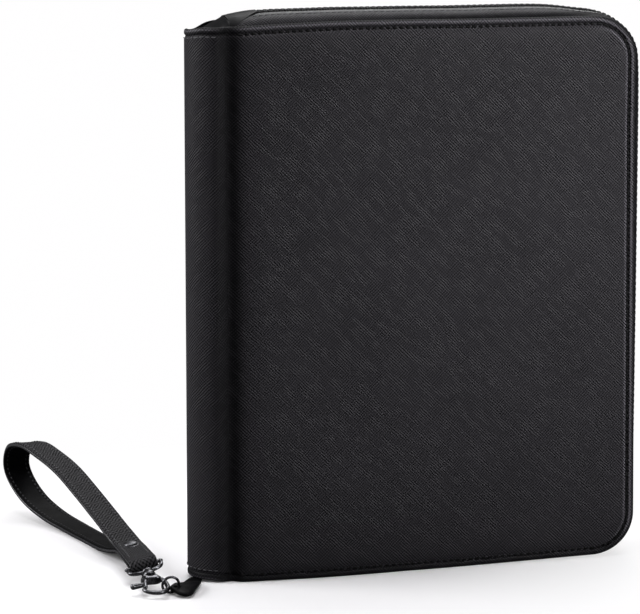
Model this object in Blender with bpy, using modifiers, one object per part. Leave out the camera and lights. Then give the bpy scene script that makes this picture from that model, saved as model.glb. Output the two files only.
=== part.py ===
"""Zip-around tablet folio case with a clip-on wrist strap, standing upright on its lower edge.

Units are metres. X runs from the spine to the opening edge, Y from the front cover (negative)
to the back cover (positive) and Z up. The floor is z = 0 and the zip's parting plane is y = 0.
Pieces are drawn with x = 0 at the outside of the spine, and main moves them so that the origin
lies under the middle of the covers.
"""

import math

import bmesh
import bpy
import numpy as np
from mathutils import Matrix, Vector

# Covers
HEIGHT = 0.310
LIP_X = 0.252
HALF_THICKNESS = 0.018
CORNER_RADIUS = 0.024
SKIN_THICKNESS = 0.0012
LIP_WIDTH = 0.0034
GROOVE_X = 0.0204
HINGE_Y = 0.0179
COVER_X = GROOVE_X + 0.0003
GAP = 0.0003
ARC_STEPS = 8

# Padding steps of a cover from its edge inwards: inset and rise of each ring
SKIN_STEPS = (
    (LIP_WIDTH, 0.0),
    (0.0008, -0.0005),
    (0.0012, 0.0012),
    (0.0020, 0.0006),
    (0.0040, 0.0004),
    (0.0100, 0.0005),
)
FOAM_INSET = 0.0066
FOAM_FACE_Y = 0.0166
FOAM_EDGE = 0.0008
FOAM_STEPS = ((0.0010, 0.0003), (0.0038, 0.0004), (0.0100, 0.0004))
BOARD_INSET = 0.0100
BOARD_Y = 0.0154
BOARD_THICKNESS = 0.0016
LINING_INSET = 0.0105
LINING_Y = 0.0139
LINING_THICKNESS = 0.0008

# Spine: half an ellipse in plan, a little shorter than the covers
SPINE_LOW = 0.0046
SPINE_TOP = HEIGHT - 0.0015
SPINE_DEPTH = GROOVE_X - 0.0003
SPINE_HALF = 0.0176
SPINE_SKIN = 0.0014
SPINE_BOARD = 0.0012
SPINE_LINING = 0.0007
SPINE_STEPS = 20

# Zip
TAPE_X = 0.0220
TAPE_THICKNESS = 0.0009
TAPE_RECESS = 0.0085
TAPE_CREST = 0.0054
TAPE_EDGE_Y = 0.0029
COIL_Y = 0.0016
COIL_RADIUS = 0.0010
COIL_X = 0.0265
RISE_START = 0.76
RISE_LENGTH = 0.024
SIDE_SWELL = 0.98
CORNER_DIP = 0.29
DIP_REACH = 0.022
DIP_TURN = 73.0
SLIDER_X = 0.0500
SLIDER_LENGTH = 0.0130
SLIDER_WIDTH = 0.0104
PLATE_THICKNESS = 0.0012
PLATE_OFFSET = 0.0020
PIN_DROP = 0.0042
PULL_LENGTH = 0.0240
PULL_WIDTH = 0.0050

# Inside
POCKET_Y = 0.0041
POCKET_THICKNESS = 0.0012
POCKET_LEFT = 0.0400
POCKET_RIGHT = 0.2320
POCKET_LOW = 0.0160
POCKET_TOP = 0.2760
WELT_WIDTH = 0.0040
LEAF_THICKNESS = 0.0009
PEN_LOOP_X = 0.0102
PEN_LOOP_RADIUS = 0.0060
PEN_LOOP_WALL = 0.0010
PEN_LOOP_LOW = 0.1750
PEN_LOOP_LENGTH = 0.0420

# Wrist strap, swivel hook, ring and anchor tab
HOOK_TURN = math.radians(0.5)
HOOK_DROOP = math.radians(9.0)
EYE_ROLL = math.radians(14.0)
ROLL_FADE = 0.060
BAR_X = -0.0260
BAR_Y = -0.0035
BAR_Z = 0.0095
BAR_RADIUS = 0.0012
STRAP_WIDTH = 0.0150
PLY_THICKNESS = 0.0011
PLY_CLEARANCE = 0.0002
LOOP_POINTS = 128
PINCH_RISE = 0.0004
RIVET_ALONG = 0.0320
RIVET_RADIUS = 0.0040
RIVET_POST = 0.0013
WIRE_RADIUS = 0.0011
BARREL_RADIUS = 0.0036
HOOK_THICKNESS = 0.0032
GATE_THICKNESS = 0.0015
GATE_PIN_ACROSS = -0.0040
GATE_PIN_ALONG = -0.0204
GATE_PIN_RADIUS = 0.0006
GATE_HOLE = 0.0009
RING_RADIUS = 0.0046
RING_WIRE = 0.00075
RING_RISE = 0.0005
RING_ACROSS = 0.0088
RING_ALONG = -0.0287
HOLE_SHIFT = 0.00384
HOLE_DROP = 0.00253
HOLE_RADIUS = 0.0024
TAB_THICKNESS = 0.0016
TAB_EDGE = (
    (0.0010, -0.0040),
    (-0.0070, -0.0150),
    (-0.0130, -0.0235),
    (-0.0165, -0.0285),
    (-0.0176, -0.0314),
    (-0.0170, -0.0345),
    (-0.0158, -0.0375),
    (-0.0150, -0.0415),
    (-0.0125, -0.0450),
    (-0.0090, -0.0465),
    (-0.0050, -0.0450),
    (-0.0010, -0.0395),
    (0.0060, -0.0240),
    (0.0125, -0.0040),
)

# The spine's outer fold is this far from the middle of the footprint, where the origin lies
FOLD_SHIFT = -0.1260

COLOURS = {
    "leatherette": ((0.022, 0.021, 0.024), 0.55, 0.0),
    "lining": ((0.030, 0.030, 0.033), 0.80, 0.0),
    "board": ((0.180, 0.150, 0.110), 0.90, 0.0),
    "foam": ((0.080, 0.080, 0.085), 0.95, 0.0),
    "tape": ((0.018, 0.018, 0.020), 0.75, 0.0),
    "coil": ((0.020, 0.020, 0.022), 0.45, 0.0),
    "gunmetal": ((0.120, 0.118, 0.122), 0.28, 1.0),
}


def clear_scene():
    """Remove every object that the scene starts with."""
    for item in list(bpy.data.objects):
        bpy.data.objects.remove(item, do_unlink=True)


clear_scene()

PARTS = bpy.data.collections.new("tablet_folio_case")
CUTTERS = bpy.data.collections.new("cutters")
bpy.context.scene.collection.children.link(PARTS)
bpy.context.scene.collection.children.link(CUTTERS)


def finish(obj, look):
    """Give an object its own material in one of the named looks."""
    colour, roughness, metallic = COLOURS[look]
    material = bpy.data.materials.new(obj.name)
    material.use_nodes = True
    shader = material.node_tree.nodes["Principled BSDF"]
    shader.inputs["Base Color"].default_value = (*colour, 1.0)
    shader.inputs["Roughness"].default_value = roughness
    shader.inputs["Metallic"].default_value = metallic
    obj.data.materials.clear()
    obj.data.materials.append(material)
    return obj


def add_empty(name, location, turn=0.0, parent=None):
    """Add an empty that stands on a joint's axis and carries the pieces that turn about it."""
    empty = bpy.data.objects.new(name, None)
    empty.empty_display_size = 0.01
    PARTS.objects.link(empty)
    empty.location = location
    empty.rotation_euler = (0.0, 0.0, turn)
    if parent is not None:
        bpy.context.view_layer.update()
        empty.parent = parent
        empty.matrix_parent_inverse = parent.matrix_world.inverted()
    bpy.context.view_layer.update()
    return empty


def attach(obj, empty):
    """Parent an object to an empty and keep the object where it is."""
    bpy.context.view_layer.update()
    obj.parent = empty
    obj.matrix_parent_inverse = empty.matrix_world.inverted()
    return obj


def mesh_object(name, bm, collection=PARTS):
    """Turn a bmesh into a linked object with its faces pointing out."""
    bmesh.ops.recalc_face_normals(bm, faces=bm.faces)
    mesh = bpy.data.meshes.new(name)
    bm.to_mesh(mesh)
    bm.free()
    obj = bpy.data.objects.new(name, mesh)
    collection.objects.link(obj)
    return obj


def flat_curve(name, outlines, half_depth, collection=PARTS):
    """Fill closed outlines in the local XY plane and extrude them both ways."""
    curve = bpy.data.curves.new(name, "CURVE")
    curve.dimensions = "2D"
    curve.fill_mode = "BOTH"
    curve.extrude = half_depth
    for outline in outlines:
        spline = curve.splines.new("POLY")
        spline.points.add(len(outline) - 1)
        for point, (a, b) in zip(spline.points, outline):
            point.co = (a, b, 0.0, 1.0)
        spline.use_cyclic_u = True
    obj = bpy.data.objects.new(name, curve)
    collection.objects.link(obj)
    return obj


def wire_curve(name, points, radius, cyclic=False, tapers=None, resolution=2):
    """Sweep a round wire along points, with an optional radius factor at each point."""
    curve = bpy.data.curves.new(name, "CURVE")
    curve.dimensions = "3D"
    curve.bevel_depth = radius
    curve.bevel_resolution = resolution
    curve.use_fill_caps = True
    spline = curve.splines.new("POLY")
    spline.points.add(len(points) - 1)
    for number, point in enumerate(points):
        spline.points[number].co = (*point, 1.0)
        if tapers is not None:
            spline.points[number].radius = tapers[number]
    spline.use_cyclic_u = cyclic
    obj = bpy.data.objects.new(name, curve)
    PARTS.objects.link(obj)
    return obj


def as_mesh(obj, name=None):
    """Replace a curve by its evaluated mesh, with the caps welded, in the same place."""
    bpy.context.view_layer.update()
    evaluated = obj.evaluated_get(bpy.context.evaluated_depsgraph_get())
    mesh = bpy.data.meshes.new_from_object(evaluated)
    bm = bmesh.new()
    bm.from_mesh(mesh)
    bmesh.ops.remove_doubles(bm, verts=bm.verts, dist=0.000005)
    bmesh.ops.recalc_face_normals(bm, faces=bm.faces)
    bm.to_mesh(mesh)
    bm.free()
    place = obj.matrix_world.copy()
    title = name or obj.name
    bpy.data.objects.remove(obj, do_unlink=True)
    result = bpy.data.objects.new(title, mesh)
    PARTS.objects.link(result)
    result.matrix_world = place
    return result


def make_cutter(obj):
    """Move an object to the cutters' collection and show it as wire only."""
    for collection in list(obj.users_collection):
        collection.objects.unlink(obj)
    CUTTERS.objects.link(obj)
    obj.hide_render = True
    obj.display_type = "WIRE"
    return obj


def combine(obj, other, operation):
    """Add a Boolean modifier that joins or cuts an object with another."""
    modifier = obj.modifiers.new(operation.lower(), "BOOLEAN")
    modifier.operation = operation
    modifier.object = make_cutter(other)
    return obj


def box(name, low, high):
    """Make a box between two corners."""
    bm = bmesh.new()
    bmesh.ops.create_cube(bm, size=1.0)
    low = Vector(low)
    high = Vector(high)
    size = high - low
    scale = Matrix.Diagonal((size.x, size.y, size.z, 1.0))
    bmesh.ops.transform(bm, matrix=Matrix.Translation((low + high) / 2.0) @ scale, verts=bm.verts)
    return mesh_object(name, bm)


def cylinder(name, radius, start, end, sides=20):
    """Make a cylinder between two points."""
    start = Vector(start)
    end = Vector(end)
    span = end - start
    bm = bmesh.new()
    bmesh.ops.create_cone(
        bm, cap_ends=True, segments=sides, radius1=radius, radius2=radius, depth=span.length
    )
    turn = span.to_track_quat("Z", "Y").to_matrix().to_4x4()
    bmesh.ops.transform(bm, matrix=Matrix.Translation((start + end) / 2.0) @ turn, verts=bm.verts)
    return mesh_object(name, bm)


def arc(centre, radius, first, last, steps):
    """Points on a circle from one angle to another, in degrees, both ends included."""
    points = []
    for number in range(steps + 1):
        angle = math.radians(first + (last - first) * number / steps)
        points.append((centre[0] + radius * math.cos(angle), centre[1] + radius * math.sin(angle)))
    return points


def cover_outline(inset):
    """Outline of a cover in X and Z, moved inwards: square at the groove, round at the opening."""
    radius = CORNER_RADIUS - inset
    right = LIP_X - CORNER_RADIUS
    top = HEIGHT - CORNER_RADIUS
    points = [(COVER_X + inset, inset)]
    points += arc((right, CORNER_RADIUS), radius, -90.0, 0.0, ARC_STEPS)
    points += arc((right, top), radius, 0.0, 90.0, ARC_STEPS)
    points.append((COVER_X + inset, HEIGHT - inset))
    return points


def rectangle(left, low, right, top):
    """Corner points of a rectangle."""
    return [(left, low), (right, low), (right, top), (left, top)]


def cover_panel(name, outlines, side, middle, thickness, look):
    """Flat panel parallel to a cover; side is -1 for the front and +1 for the back."""
    obj = flat_curve(name, outlines, thickness / 2.0)
    obj.rotation_euler = (math.pi / 2.0, 0.0, 0.0)
    obj.location = (0.0, side * middle, 0.0)
    return finish(obj, look)


def padded_face(outline, side, face_y, edge, steps):
    """Face with rings inset and raised towards the outside, on an edge wall of the given height."""
    bm = bmesh.new()
    corners = [bm.verts.new((x, side * face_y, z)) for x, z in outline]
    face = bm.faces.new(corners)
    bm.normal_update()
    if face.normal.y * side < 0.0:
        bmesh.ops.reverse_faces(bm, faces=[face])
    if edge > 0.0:
        base = face
        grown = bmesh.ops.extrude_face_region(bm, geom=[base], use_keep_orig=True)["geom"]
        raised = [item for item in grown if isinstance(item, bmesh.types.BMVert)]
        bmesh.ops.translate(bm, verts=raised, vec=(0.0, side * edge, 0.0))
        face = [item for item in grown if isinstance(item, bmesh.types.BMFace)][0]
        bm.normal_update()
    for inset, rise in steps:
        bmesh.ops.inset_region(
            bm, faces=[face], thickness=inset, depth=rise, use_even_offset=True, use_boundary=True
        )
    return bm


def cover_skin(name, side):
    """Leatherette sheet with a flat lip, a sunk stitch channel and a raised padded panel."""
    bm = padded_face(cover_outline(0.0), side, HALF_THICKNESS, 0.0, SKIN_STEPS)
    mesh = bpy.data.meshes.new(name)
    bm.to_mesh(mesh)
    bm.free()
    obj = bpy.data.objects.new(name, mesh)
    PARTS.objects.link(obj)
    shell = obj.modifiers.new("sheet", "SOLIDIFY")
    shell.thickness = SKIN_THICKNESS
    shell.offset = -1.0
    return finish(obj, "leatherette")


def cover_foam(name, side):
    """Foam pad that fills the raised panel of a cover."""
    bm = padded_face(cover_outline(FOAM_INSET), side, FOAM_FACE_Y, FOAM_EDGE, FOAM_STEPS)
    return finish(mesh_object(name, bm), "foam")


def smooth(value):
    """Ease from 0 to 1 with level ends."""
    value = min(max(value, 0.0), 1.0)
    return value * value * (3.0 - 2.0 * value)


def corner_dip(away):
    """How much less the tape swells at a distance along the edge from the upper corner's middle."""
    return CORNER_DIP * math.exp(-((away / DIP_REACH) ** 2))


def tape_path(start_x):
    """Stations round the cover's edge: point, outward direction and how far the tape swells."""
    right = LIP_X - CORNER_RADIUS
    top = HEIGHT - CORNER_RADIUS
    stations = []
    for number in range(5):
        x = start_x + (right - start_x) * number / 5.0
        stations.append((x, 0.0, 0.0, -1.0, 0.0))
    for x, z in arc((right, CORNER_RADIUS), CORNER_RADIUS, -90.0, 0.0, 10):
        out = Vector((x - right, z - CORNER_RADIUS)).normalized()
        turn = math.degrees(math.atan2(out.y, out.x)) + 90.0
        stations.append((x, z, out.x, out.y, SIDE_SWELL * smooth(turn / 110.0)))
    below = CORNER_RADIUS * math.radians(DIP_TURN)
    beside = CORNER_RADIUS * math.radians(90.0 - DIP_TURN)
    heights = [CORNER_RADIUS + (top - CORNER_RADIUS) * number / 6.0 for number in range(1, 6)]
    for z in heights + [top - 0.024, top - 0.010]:
        stations.append((LIP_X, z, 1.0, 0.0, SIDE_SWELL - corner_dip(below + top - z)))
    for x, z in arc((right, top), CORNER_RADIUS, 0.0, 90.0, 10):
        out = Vector((x - right, z - top)).normalized()
        turn = math.degrees(math.atan2(out.y, out.x))
        swell = SIDE_SWELL + (1.0 - SIDE_SWELL) * smooth(turn / 90.0)
        away = CORNER_RADIUS * math.radians(DIP_TURN - turn)
        stations.append((x, z, out.x, out.y, swell - corner_dip(away)))
    taper = TAPE_X + RISE_LENGTH
    places = [right + (taper - right) * number / 4.0 for number in range(1, 4)]
    for x in [right - 0.009, right - 0.021, right - 0.034] + places:
        stations.append((x, HEIGHT, 0.0, 1.0, 1.0 - corner_dip(beside + right - x)))
    for number in range(9):
        x = taper + (start_x - taper) * number / 8.0
        swell = RISE_START + (1.0 - RISE_START) * smooth((x - TAPE_X) / RISE_LENGTH)
        stations.append((x, HEIGHT, 0.0, 1.0, swell))
    return stations


def tape_section(swell):
    """Middle line of one zip tape from its sewn edge to the coil: depth from y = 0 and offset."""
    seat = HALF_THICKNESS - 0.00215
    sunk = (
        (seat, -0.0036),
        (seat, -0.0064),
        (seat - 0.0009, -0.0080),
        (seat - 0.0029, -TAPE_RECESS),
        (0.0080, -TAPE_RECESS),
        (TAPE_EDGE_Y, -TAPE_RECESS),
    )
    proud = (
        (seat, -0.0060),
        (seat, -0.0020),
        (seat - 0.0007, 0.0008),
        (seat - 0.0033, 0.0033),
        (0.0080, TAPE_CREST - 0.0006),
        (TAPE_EDGE_Y, TAPE_CREST),
    )
    low = np.array(sunk)
    high = np.array(proud)
    return low + (high - low) * swell


def thick_line(line, thickness):
    """Closed outline round a line, half the thickness to each side."""
    ahead = np.gradient(line, axis=0)
    across = np.stack([-ahead[:, 1], ahead[:, 0]], axis=1)
    across /= np.linalg.norm(across, axis=1)[:, None]
    upper = line + across * thickness / 2.0
    lower = line - across * thickness / 2.0
    return np.concatenate([upper, lower[::-1]])


def loft(name, rings, closed=False):
    """Join rings of equal count into one body: with flat ends, or closed round to the start."""
    bm = bmesh.new()
    rows = [[bm.verts.new(point) for point in ring] for ring in rings]
    count = len(rows[0])
    ends = [] if closed else [rows[0], rows[-1]]
    for first, second in zip(rows, rows[1:] + rows[:1] if closed else rows[1:]):
        for number in range(count):
            after = (number + 1) % count
            bm.faces.new((first[number], first[after], second[after], second[number]))
    half = count // 2
    for row in ends:
        for number in range(half - 1):
            mate = count - 1 - number
            bm.faces.new((row[number], row[number + 1], row[mate - 1], row[mate]))
    return mesh_object(name, bm)


def zip_tape(name, side):
    """Woven zip tape: sunk between the lips along the floor, swelling out round the other sides."""
    rings = []
    for x, z, out_x, out_z, swell in tape_path(TAPE_X):
        ring = thick_line(tape_section(swell), TAPE_THICKNESS)
        rings.append([(x + out_x * off, side * depth, z + out_z * off) for depth, off in ring])
    return finish(loft(name, rings), "tape")


def zip_coil(name, side):
    """Bead of zip teeth along the free edge of a tape."""
    points = []
    for x, z, out_x, out_z, swell in tape_path(COIL_X):
        off = tape_section(swell)[-1, 1]
        points.append((x + out_x * off, side * COIL_Y, z + out_z * off))
    obj = wire_curve(name, points, COIL_RADIUS, resolution=1)
    return finish(obj, "coil")


def zip_stop(name, side, upper):
    """Metal clip crimped on the tape at one end of the coil."""
    stations = tape_path(COIL_X)
    x, z, out_x, out_z, swell = stations[-1] if upper else stations[0]
    off = tape_section(swell)[-1, 1]
    middle = z + out_z * off
    near = COIL_Y - 0.0010
    far = COIL_Y + 0.0010
    low_y = min(side * near, side * far)
    high_y = max(side * near, side * far)
    obj = box(name, (x - 0.0031, low_y, middle - 0.0012), (x - 0.0006, high_y, middle + 0.0012))
    edge = obj.modifiers.new("edges", "BEVEL")
    edge.width = 0.0003
    edge.segments = 1
    return finish(obj, "gunmetal")


def spine_outline(first, last, trim):
    """Crescent between two depths inside the spine's outer ellipse, ended short of the grooves."""
    points = []
    for depth, order in ((first, 1), (last, -1)):
        along = SPINE_DEPTH - depth
        across = SPINE_HALF - depth
        limit = 90.0 - trim
        arm = []
        for number in range(SPINE_STEPS + 1):
            angle = math.radians(-limit + 2.0 * limit * number / SPINE_STEPS)
            arm.append((SPINE_DEPTH - along * math.cos(angle), across * math.sin(angle)))
        points += arm[::order]
    return points


def spine_sheet(name, first, last, trim, low, top, look):
    """Curved sheet of the spine between two heights."""
    obj = flat_curve(name, [spine_outline(first, last, trim)], (top - low) / 2.0)
    obj.location = (0.0, 0.0, (low + top) / 2.0)
    return finish(obj, look)


def spine_gusset(name, narrow, wide, left, thickness):
    """Cloth piece that closes an end of the spine: narrow at the fold, wide at the grooves."""
    right = SPINE_DEPTH - 0.0004
    outline = [(left, -narrow), (right, -wide), (right, wide), (left, narrow)]
    obj = as_mesh(flat_curve(name, [outline], thickness / 2.0))
    edge = obj.modifiers.new("edges", "BEVEL")
    edge.width = 0.0003
    edge.segments = 1
    return finish(obj, "tape")


def closed_spline(points, count):
    """Even samples of a smooth closed curve through points, by Catmull and Rom's rule."""
    knots = np.array(points)
    fine = []
    total = len(knots)
    for number in range(total):
        before = knots[number - 1]
        start = knots[number]
        end = knots[(number + 1) % total]
        after = knots[(number + 2) % total]
        for step in range(12):
            t = step / 12.0
            bend = 2.0 * before - 5.0 * start + 4.0 * end - after
            twist = -before + 3.0 * start - 3.0 * end + after
            fine.append(0.5 * (2.0 * start + (end - before) * t + bend * t * t + twist * t ** 3))
    fine = np.array(fine)
    ring = np.concatenate([fine, fine[:1]])
    run = np.concatenate([[0.0], np.cumsum(np.linalg.norm(np.diff(ring, axis=0), axis=1))])
    wanted = np.linspace(0.0, run[-1], count, endpoint=False)
    return np.stack([np.interp(wanted, run, column) for column in ring.T], axis=1)


def strap_frame():
    """Axes of the strap where it leaves the bar: along the bar, level away from it, and up."""
    turn = Matrix.Rotation(HOOK_TURN, 3, "Z") @ Matrix.Rotation(HOOK_DROOP, 3, "X")
    across = turn @ Matrix.Rotation(-EYE_ROLL, 3, "Y") @ Vector((1.0, 0.0, 0.0))
    away = Vector((0.0, 0.0, 1.0)).cross(across).normalized()
    return np.array(across), np.array(away), np.array(across.cross(away))


def strap_middle():
    """Middle line of the strap from the bar: round it, pinched, then an open loop drifting aside."""
    turn = BAR_RADIUS + 0.0004 + PLY_THICKNESS + PLY_CLEARANCE
    pinch = 0.0003 + PLY_THICKNESS + PLY_CLEARANCE
    across, away, up = strap_frame()
    lower = [
        (0.0500, -0.0028, -0.0041),
        (0.0650, -0.0051, -0.0068),
        (0.0880, -0.0095, -0.0078),
        (0.1120, -0.0168, -0.0070),
        (0.1330, -0.0252, -0.0044),
        (0.1510, -0.0330, 0.0014),
        (0.1635, -0.0383, 0.0102),
        (0.1680, -0.0405, 0.0195),
    ]
    upper = [
        (0.1620, -0.0393, 0.0305),
        (0.1490, -0.0340, 0.0344),
        (0.1330, -0.0275, 0.0320),
        (0.1130, -0.0205, 0.0272),
        (0.0890, -0.0138, 0.0192),
        (0.0660, -0.0078, 0.0112),
        (0.0500, -0.0040, 0.0058),
    ]
    knots = [along * away + height * up for along, height in ((0.0, -turn), (0.0050, -0.0024))]
    for along in (0.0140, 0.0260, 0.0380):
        knots.append(along * away + (PINCH_RISE - pinch) * up + strap_drift(along))
    knots += [np.array((side, along, height)) for along, side, height in lower + upper]
    for along in (0.0380, 0.0260, 0.0140):
        knots.append(along * away + (PINCH_RISE + pinch) * up + strap_drift(along))
    for along, height in ((0.0050, 0.0024), (0.0, turn), (-0.7071 * turn, 0.7071 * turn)):
        knots.append(along * away + height * up)
    for along, height in ((-turn, 0.0), (-0.7071 * turn, -0.7071 * turn)):
        knots.append(along * away + height * up)
    return closed_spline(knots, LOOP_POINTS)


def strap_drift(along):
    """Sideways drift of the pinched part, growing with the square of the distance."""
    return np.array((-1.1 * along * along, 0.0, 0.0))


def strap_across(along):
    """Direction across the strap: along the bar at the bar, level further out."""
    across = strap_frame()[0]
    fade = np.clip(1.0 - along / ROLL_FADE, 0.0, 1.0)[:, None]
    return fade * across + (1.0 - fade) * np.array((1.0, 0.0, 0.0))


def strap_ply(name, first, last):
    """One closed ply of the strap between two offsets outwards from its middle line."""
    line = strap_middle()
    ahead = np.roll(line, -1, axis=0) - np.roll(line, 1, axis=0)
    ahead /= np.linalg.norm(ahead, axis=1)[:, None]
    outward = np.cross(ahead, strap_across(line[:, 1]))
    outward /= np.linalg.norm(outward, axis=1)[:, None]
    half = np.cross(outward, ahead) * STRAP_WIDTH / 2.0
    bar = np.array((BAR_X, BAR_Y, BAR_Z))
    inside = bar + line + outward * first
    outside = bar + line + outward * last
    rings = np.stack([inside - half, inside + half, outside + half, outside - half], axis=1)
    obj = loft(name, rings, closed=True)
    low, high = rivet_axis(0.012)
    combine(obj, cylinder(name + "_hole", RIVET_POST + GAP, low, high), "DIFFERENCE")
    return finish(obj, "leatherette")


def rivet_axis(half_length):
    """Two points on the rivet's axis, square to the pinched strap, below and above its middle."""
    away, up = strap_frame()[1:]
    across = strap_across(np.array([RIVET_ALONG]))[0]
    normal = np.cross(across, away)
    normal /= np.linalg.norm(normal)
    middle = RIVET_ALONG * away + PINCH_RISE * up + strap_drift(RIVET_ALONG)
    middle += np.array((BAR_X, BAR_Y, BAR_Z))
    return Vector(middle - normal * half_length), Vector(middle + normal * half_length)


def turned(name, profile, sides):
    """Turn a profile of radius and height about local Z."""
    mesh = bpy.data.meshes.new(name)
    edges = [(number, number + 1) for number in range(len(profile) - 1)]
    mesh.from_pydata([(radius, 0.0, height) for radius, height in profile], edges, [])
    obj = bpy.data.objects.new(name, mesh)
    PARTS.objects.link(obj)
    spin = obj.modifiers.new("turn", "SCREW")
    spin.steps = sides
    spin.render_steps = sides
    spin.use_merge_vertices = True
    spin.merge_threshold = 0.00001
    spin.use_smooth_shade = True
    return obj


def hook_frame(roll):
    """Placement of a piece modelled about the bar: turned, drooping and rolled about its length."""
    turn = Matrix.Rotation(HOOK_TURN, 4, "Z") @ Matrix.Rotation(HOOK_DROOP, 4, "X")
    return Matrix.Translation((BAR_X, BAR_Y, BAR_Z)) @ turn @ Matrix.Rotation(-roll, 4, "Y")


def place(obj, frame, shift=None):
    """Move a piece, and what cuts or joins it, and hang it all on the empty of its axis."""
    others = [item.object for item in obj.modifiers if item.type == "BOOLEAN"]
    bpy.context.view_layer.update()
    for item in [obj] + others:
        if shift is not None:
            item.matrix_world = shift @ item.matrix_world
        attach(item, frame)
    return obj


def hook_point(across, along, height):
    """World position of a point given in the hook's frame from the bar."""
    return hook_frame(0.0) @ Vector((across, along, height))


def tab_hole():
    """World position of the tab's hole, where the ring passes through it."""
    return hook_point(RING_ACROSS + HOLE_SHIFT, RING_ALONG, RING_RISE - HOLE_DROP)


def build_covers(front_axis):
    """Skins, pads, boards, linings and pockets of both covers."""
    for side, title in ((-1, "front"), (1, "back")):
        pieces = [
            cover_skin(title + "_skin", side),
            cover_foam(title + "_foam", side),
            cover_panel(
                title + "_board", [cover_outline(BOARD_INSET)], side, BOARD_Y, BOARD_THICKNESS, "board"
            ),
            cover_panel(
                title + "_lining", [cover_outline(LINING_INSET)], side, LINING_Y, LINING_THICKNESS, "lining"
            ),
            zip_tape("zip_tape_" + title, side),
            zip_coil("zip_coil_" + title, side),
            zip_stop("zip_stop_upper_" + title, side, True),
            zip_stop("zip_stop_lower_" + title, side, False),
        ]
        if side < 0:
            for piece in pieces:
                attach(piece, front_axis)


def build_inside(front_axis):
    """Tablet pocket on the back lining, document and card pockets on the front lining."""
    notch = arc(((POCKET_LEFT + POCKET_RIGHT) / 2.0, POCKET_TOP), 0.014, 0.0, -180.0, 10)
    face = [(POCKET_LEFT, POCKET_LOW), (POCKET_RIGHT, POCKET_LOW), (POCKET_RIGHT, POCKET_TOP)]
    face += notch + [(POCKET_LEFT, POCKET_TOP)]
    cover_panel("tablet_pocket_panel", [face], 1, POCKET_Y, POCKET_THICKNESS, "lining")
    near = POCKET_Y + POCKET_THICKNESS / 2.0 + GAP
    far = LINING_Y - LINING_THICKNESS / 2.0 - GAP
    inner_left = POCKET_LEFT + WELT_WIDTH
    inner_right = POCKET_RIGHT - WELT_WIDTH
    welt = [
        (POCKET_LEFT, POCKET_LOW),
        (POCKET_RIGHT, POCKET_LOW),
        (POCKET_RIGHT, POCKET_TOP),
        (inner_right, POCKET_TOP),
        (inner_right, POCKET_LOW + WELT_WIDTH),
        (inner_left, POCKET_LOW + WELT_WIDTH),
        (inner_left, POCKET_TOP),
        (POCKET_LEFT, POCKET_TOP),
    ]
    cover_panel("tablet_pocket_welt", [welt], 1, (near + far) / 2.0, far - near, "tape")
    leaves = (
        ("document_pocket", rectangle(0.036, 0.014, 0.236, 0.200)),
        ("card_pocket_rear", rectangle(0.042, 0.018, 0.142, 0.152)),
        ("card_pocket_middle", rectangle(0.042, 0.018, 0.142, 0.114)),
        ("card_pocket_front", rectangle(0.042, 0.018, 0.142, 0.076)),
    )
    depth = LINING_Y - LINING_THICKNESS / 2.0
    for name, outline in leaves:
        depth -= GAP + LEAF_THICKNESS / 2.0
        attach(cover_panel(name, [outline], -1, depth, LEAF_THICKNESS, "lining"), front_axis)
        depth -= LEAF_THICKNESS / 2.0


def build_spine(spine_axis):
    """Curved spine skin, board and lining, its two end gussets, the pen loop and the anchor tab."""
    inner = SPINE_SKIN + GAP
    deeper = inner + SPINE_BOARD + GAP
    low = SPINE_LOW + 0.001
    top = SPINE_TOP - 0.001
    pieces = [
        spine_sheet("spine_skin", 0.0, SPINE_SKIN, 0.0, SPINE_LOW, SPINE_TOP, "leatherette"),
        spine_sheet("spine_board", inner, inner + SPINE_BOARD, 6.0, low, top, "board"),
        spine_sheet("spine_lining", deeper, deeper + SPINE_LINING, 6.0, low, top, "lining"),
    ]
    cap = spine_gusset("spine_gusset_upper", 0.0075, 0.0125, 0.0035, 0.0012)
    slope = math.radians(10.8)
    cap.rotation_euler = (0.0, -slope, 0.0)
    cap.location = (0.0, 0.0, HEIGHT - 0.0005 - 0.0035 * math.tan(slope))
    floor = spine_gusset("spine_gusset_lower", 0.0060, 0.0115, 0.0065, 0.0012)
    floor.location = (0.0, 0.0, SPINE_LOW + 0.0006)
    loop = flat_curve(
        "pen_loop",
        [
            arc((0.0, 0.0), PEN_LOOP_RADIUS, 0.0, 348.75, 31),
            arc((0.0, 0.0), PEN_LOOP_RADIUS - PEN_LOOP_WALL, 0.0, 348.75, 31),
        ],
        PEN_LOOP_LENGTH / 2.0,
    )
    loop.location = (PEN_LOOP_X, 0.0, PEN_LOOP_LOW + PEN_LOOP_LENGTH / 2.0)
    finish(loop, "tape")
    pieces += [cap, floor, loop, anchor_tab()]
    for piece in pieces:
        attach(piece, spine_axis)


def anchor_tab():
    """Flat leather tongue from under the spine's lower edge out to the front, holed for the ring."""
    hole = tab_hole()
    eye = arc((hole.x, hole.y), HOLE_RADIUS, 0.0, 345.0, 23)
    obj = flat_curve("anchor_tab", [list(TAB_EDGE), eye], TAB_THICKNESS / 2.0)
    obj.location = (0.0, 0.0, hole.z)
    return finish(obj, "leatherette")


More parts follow.
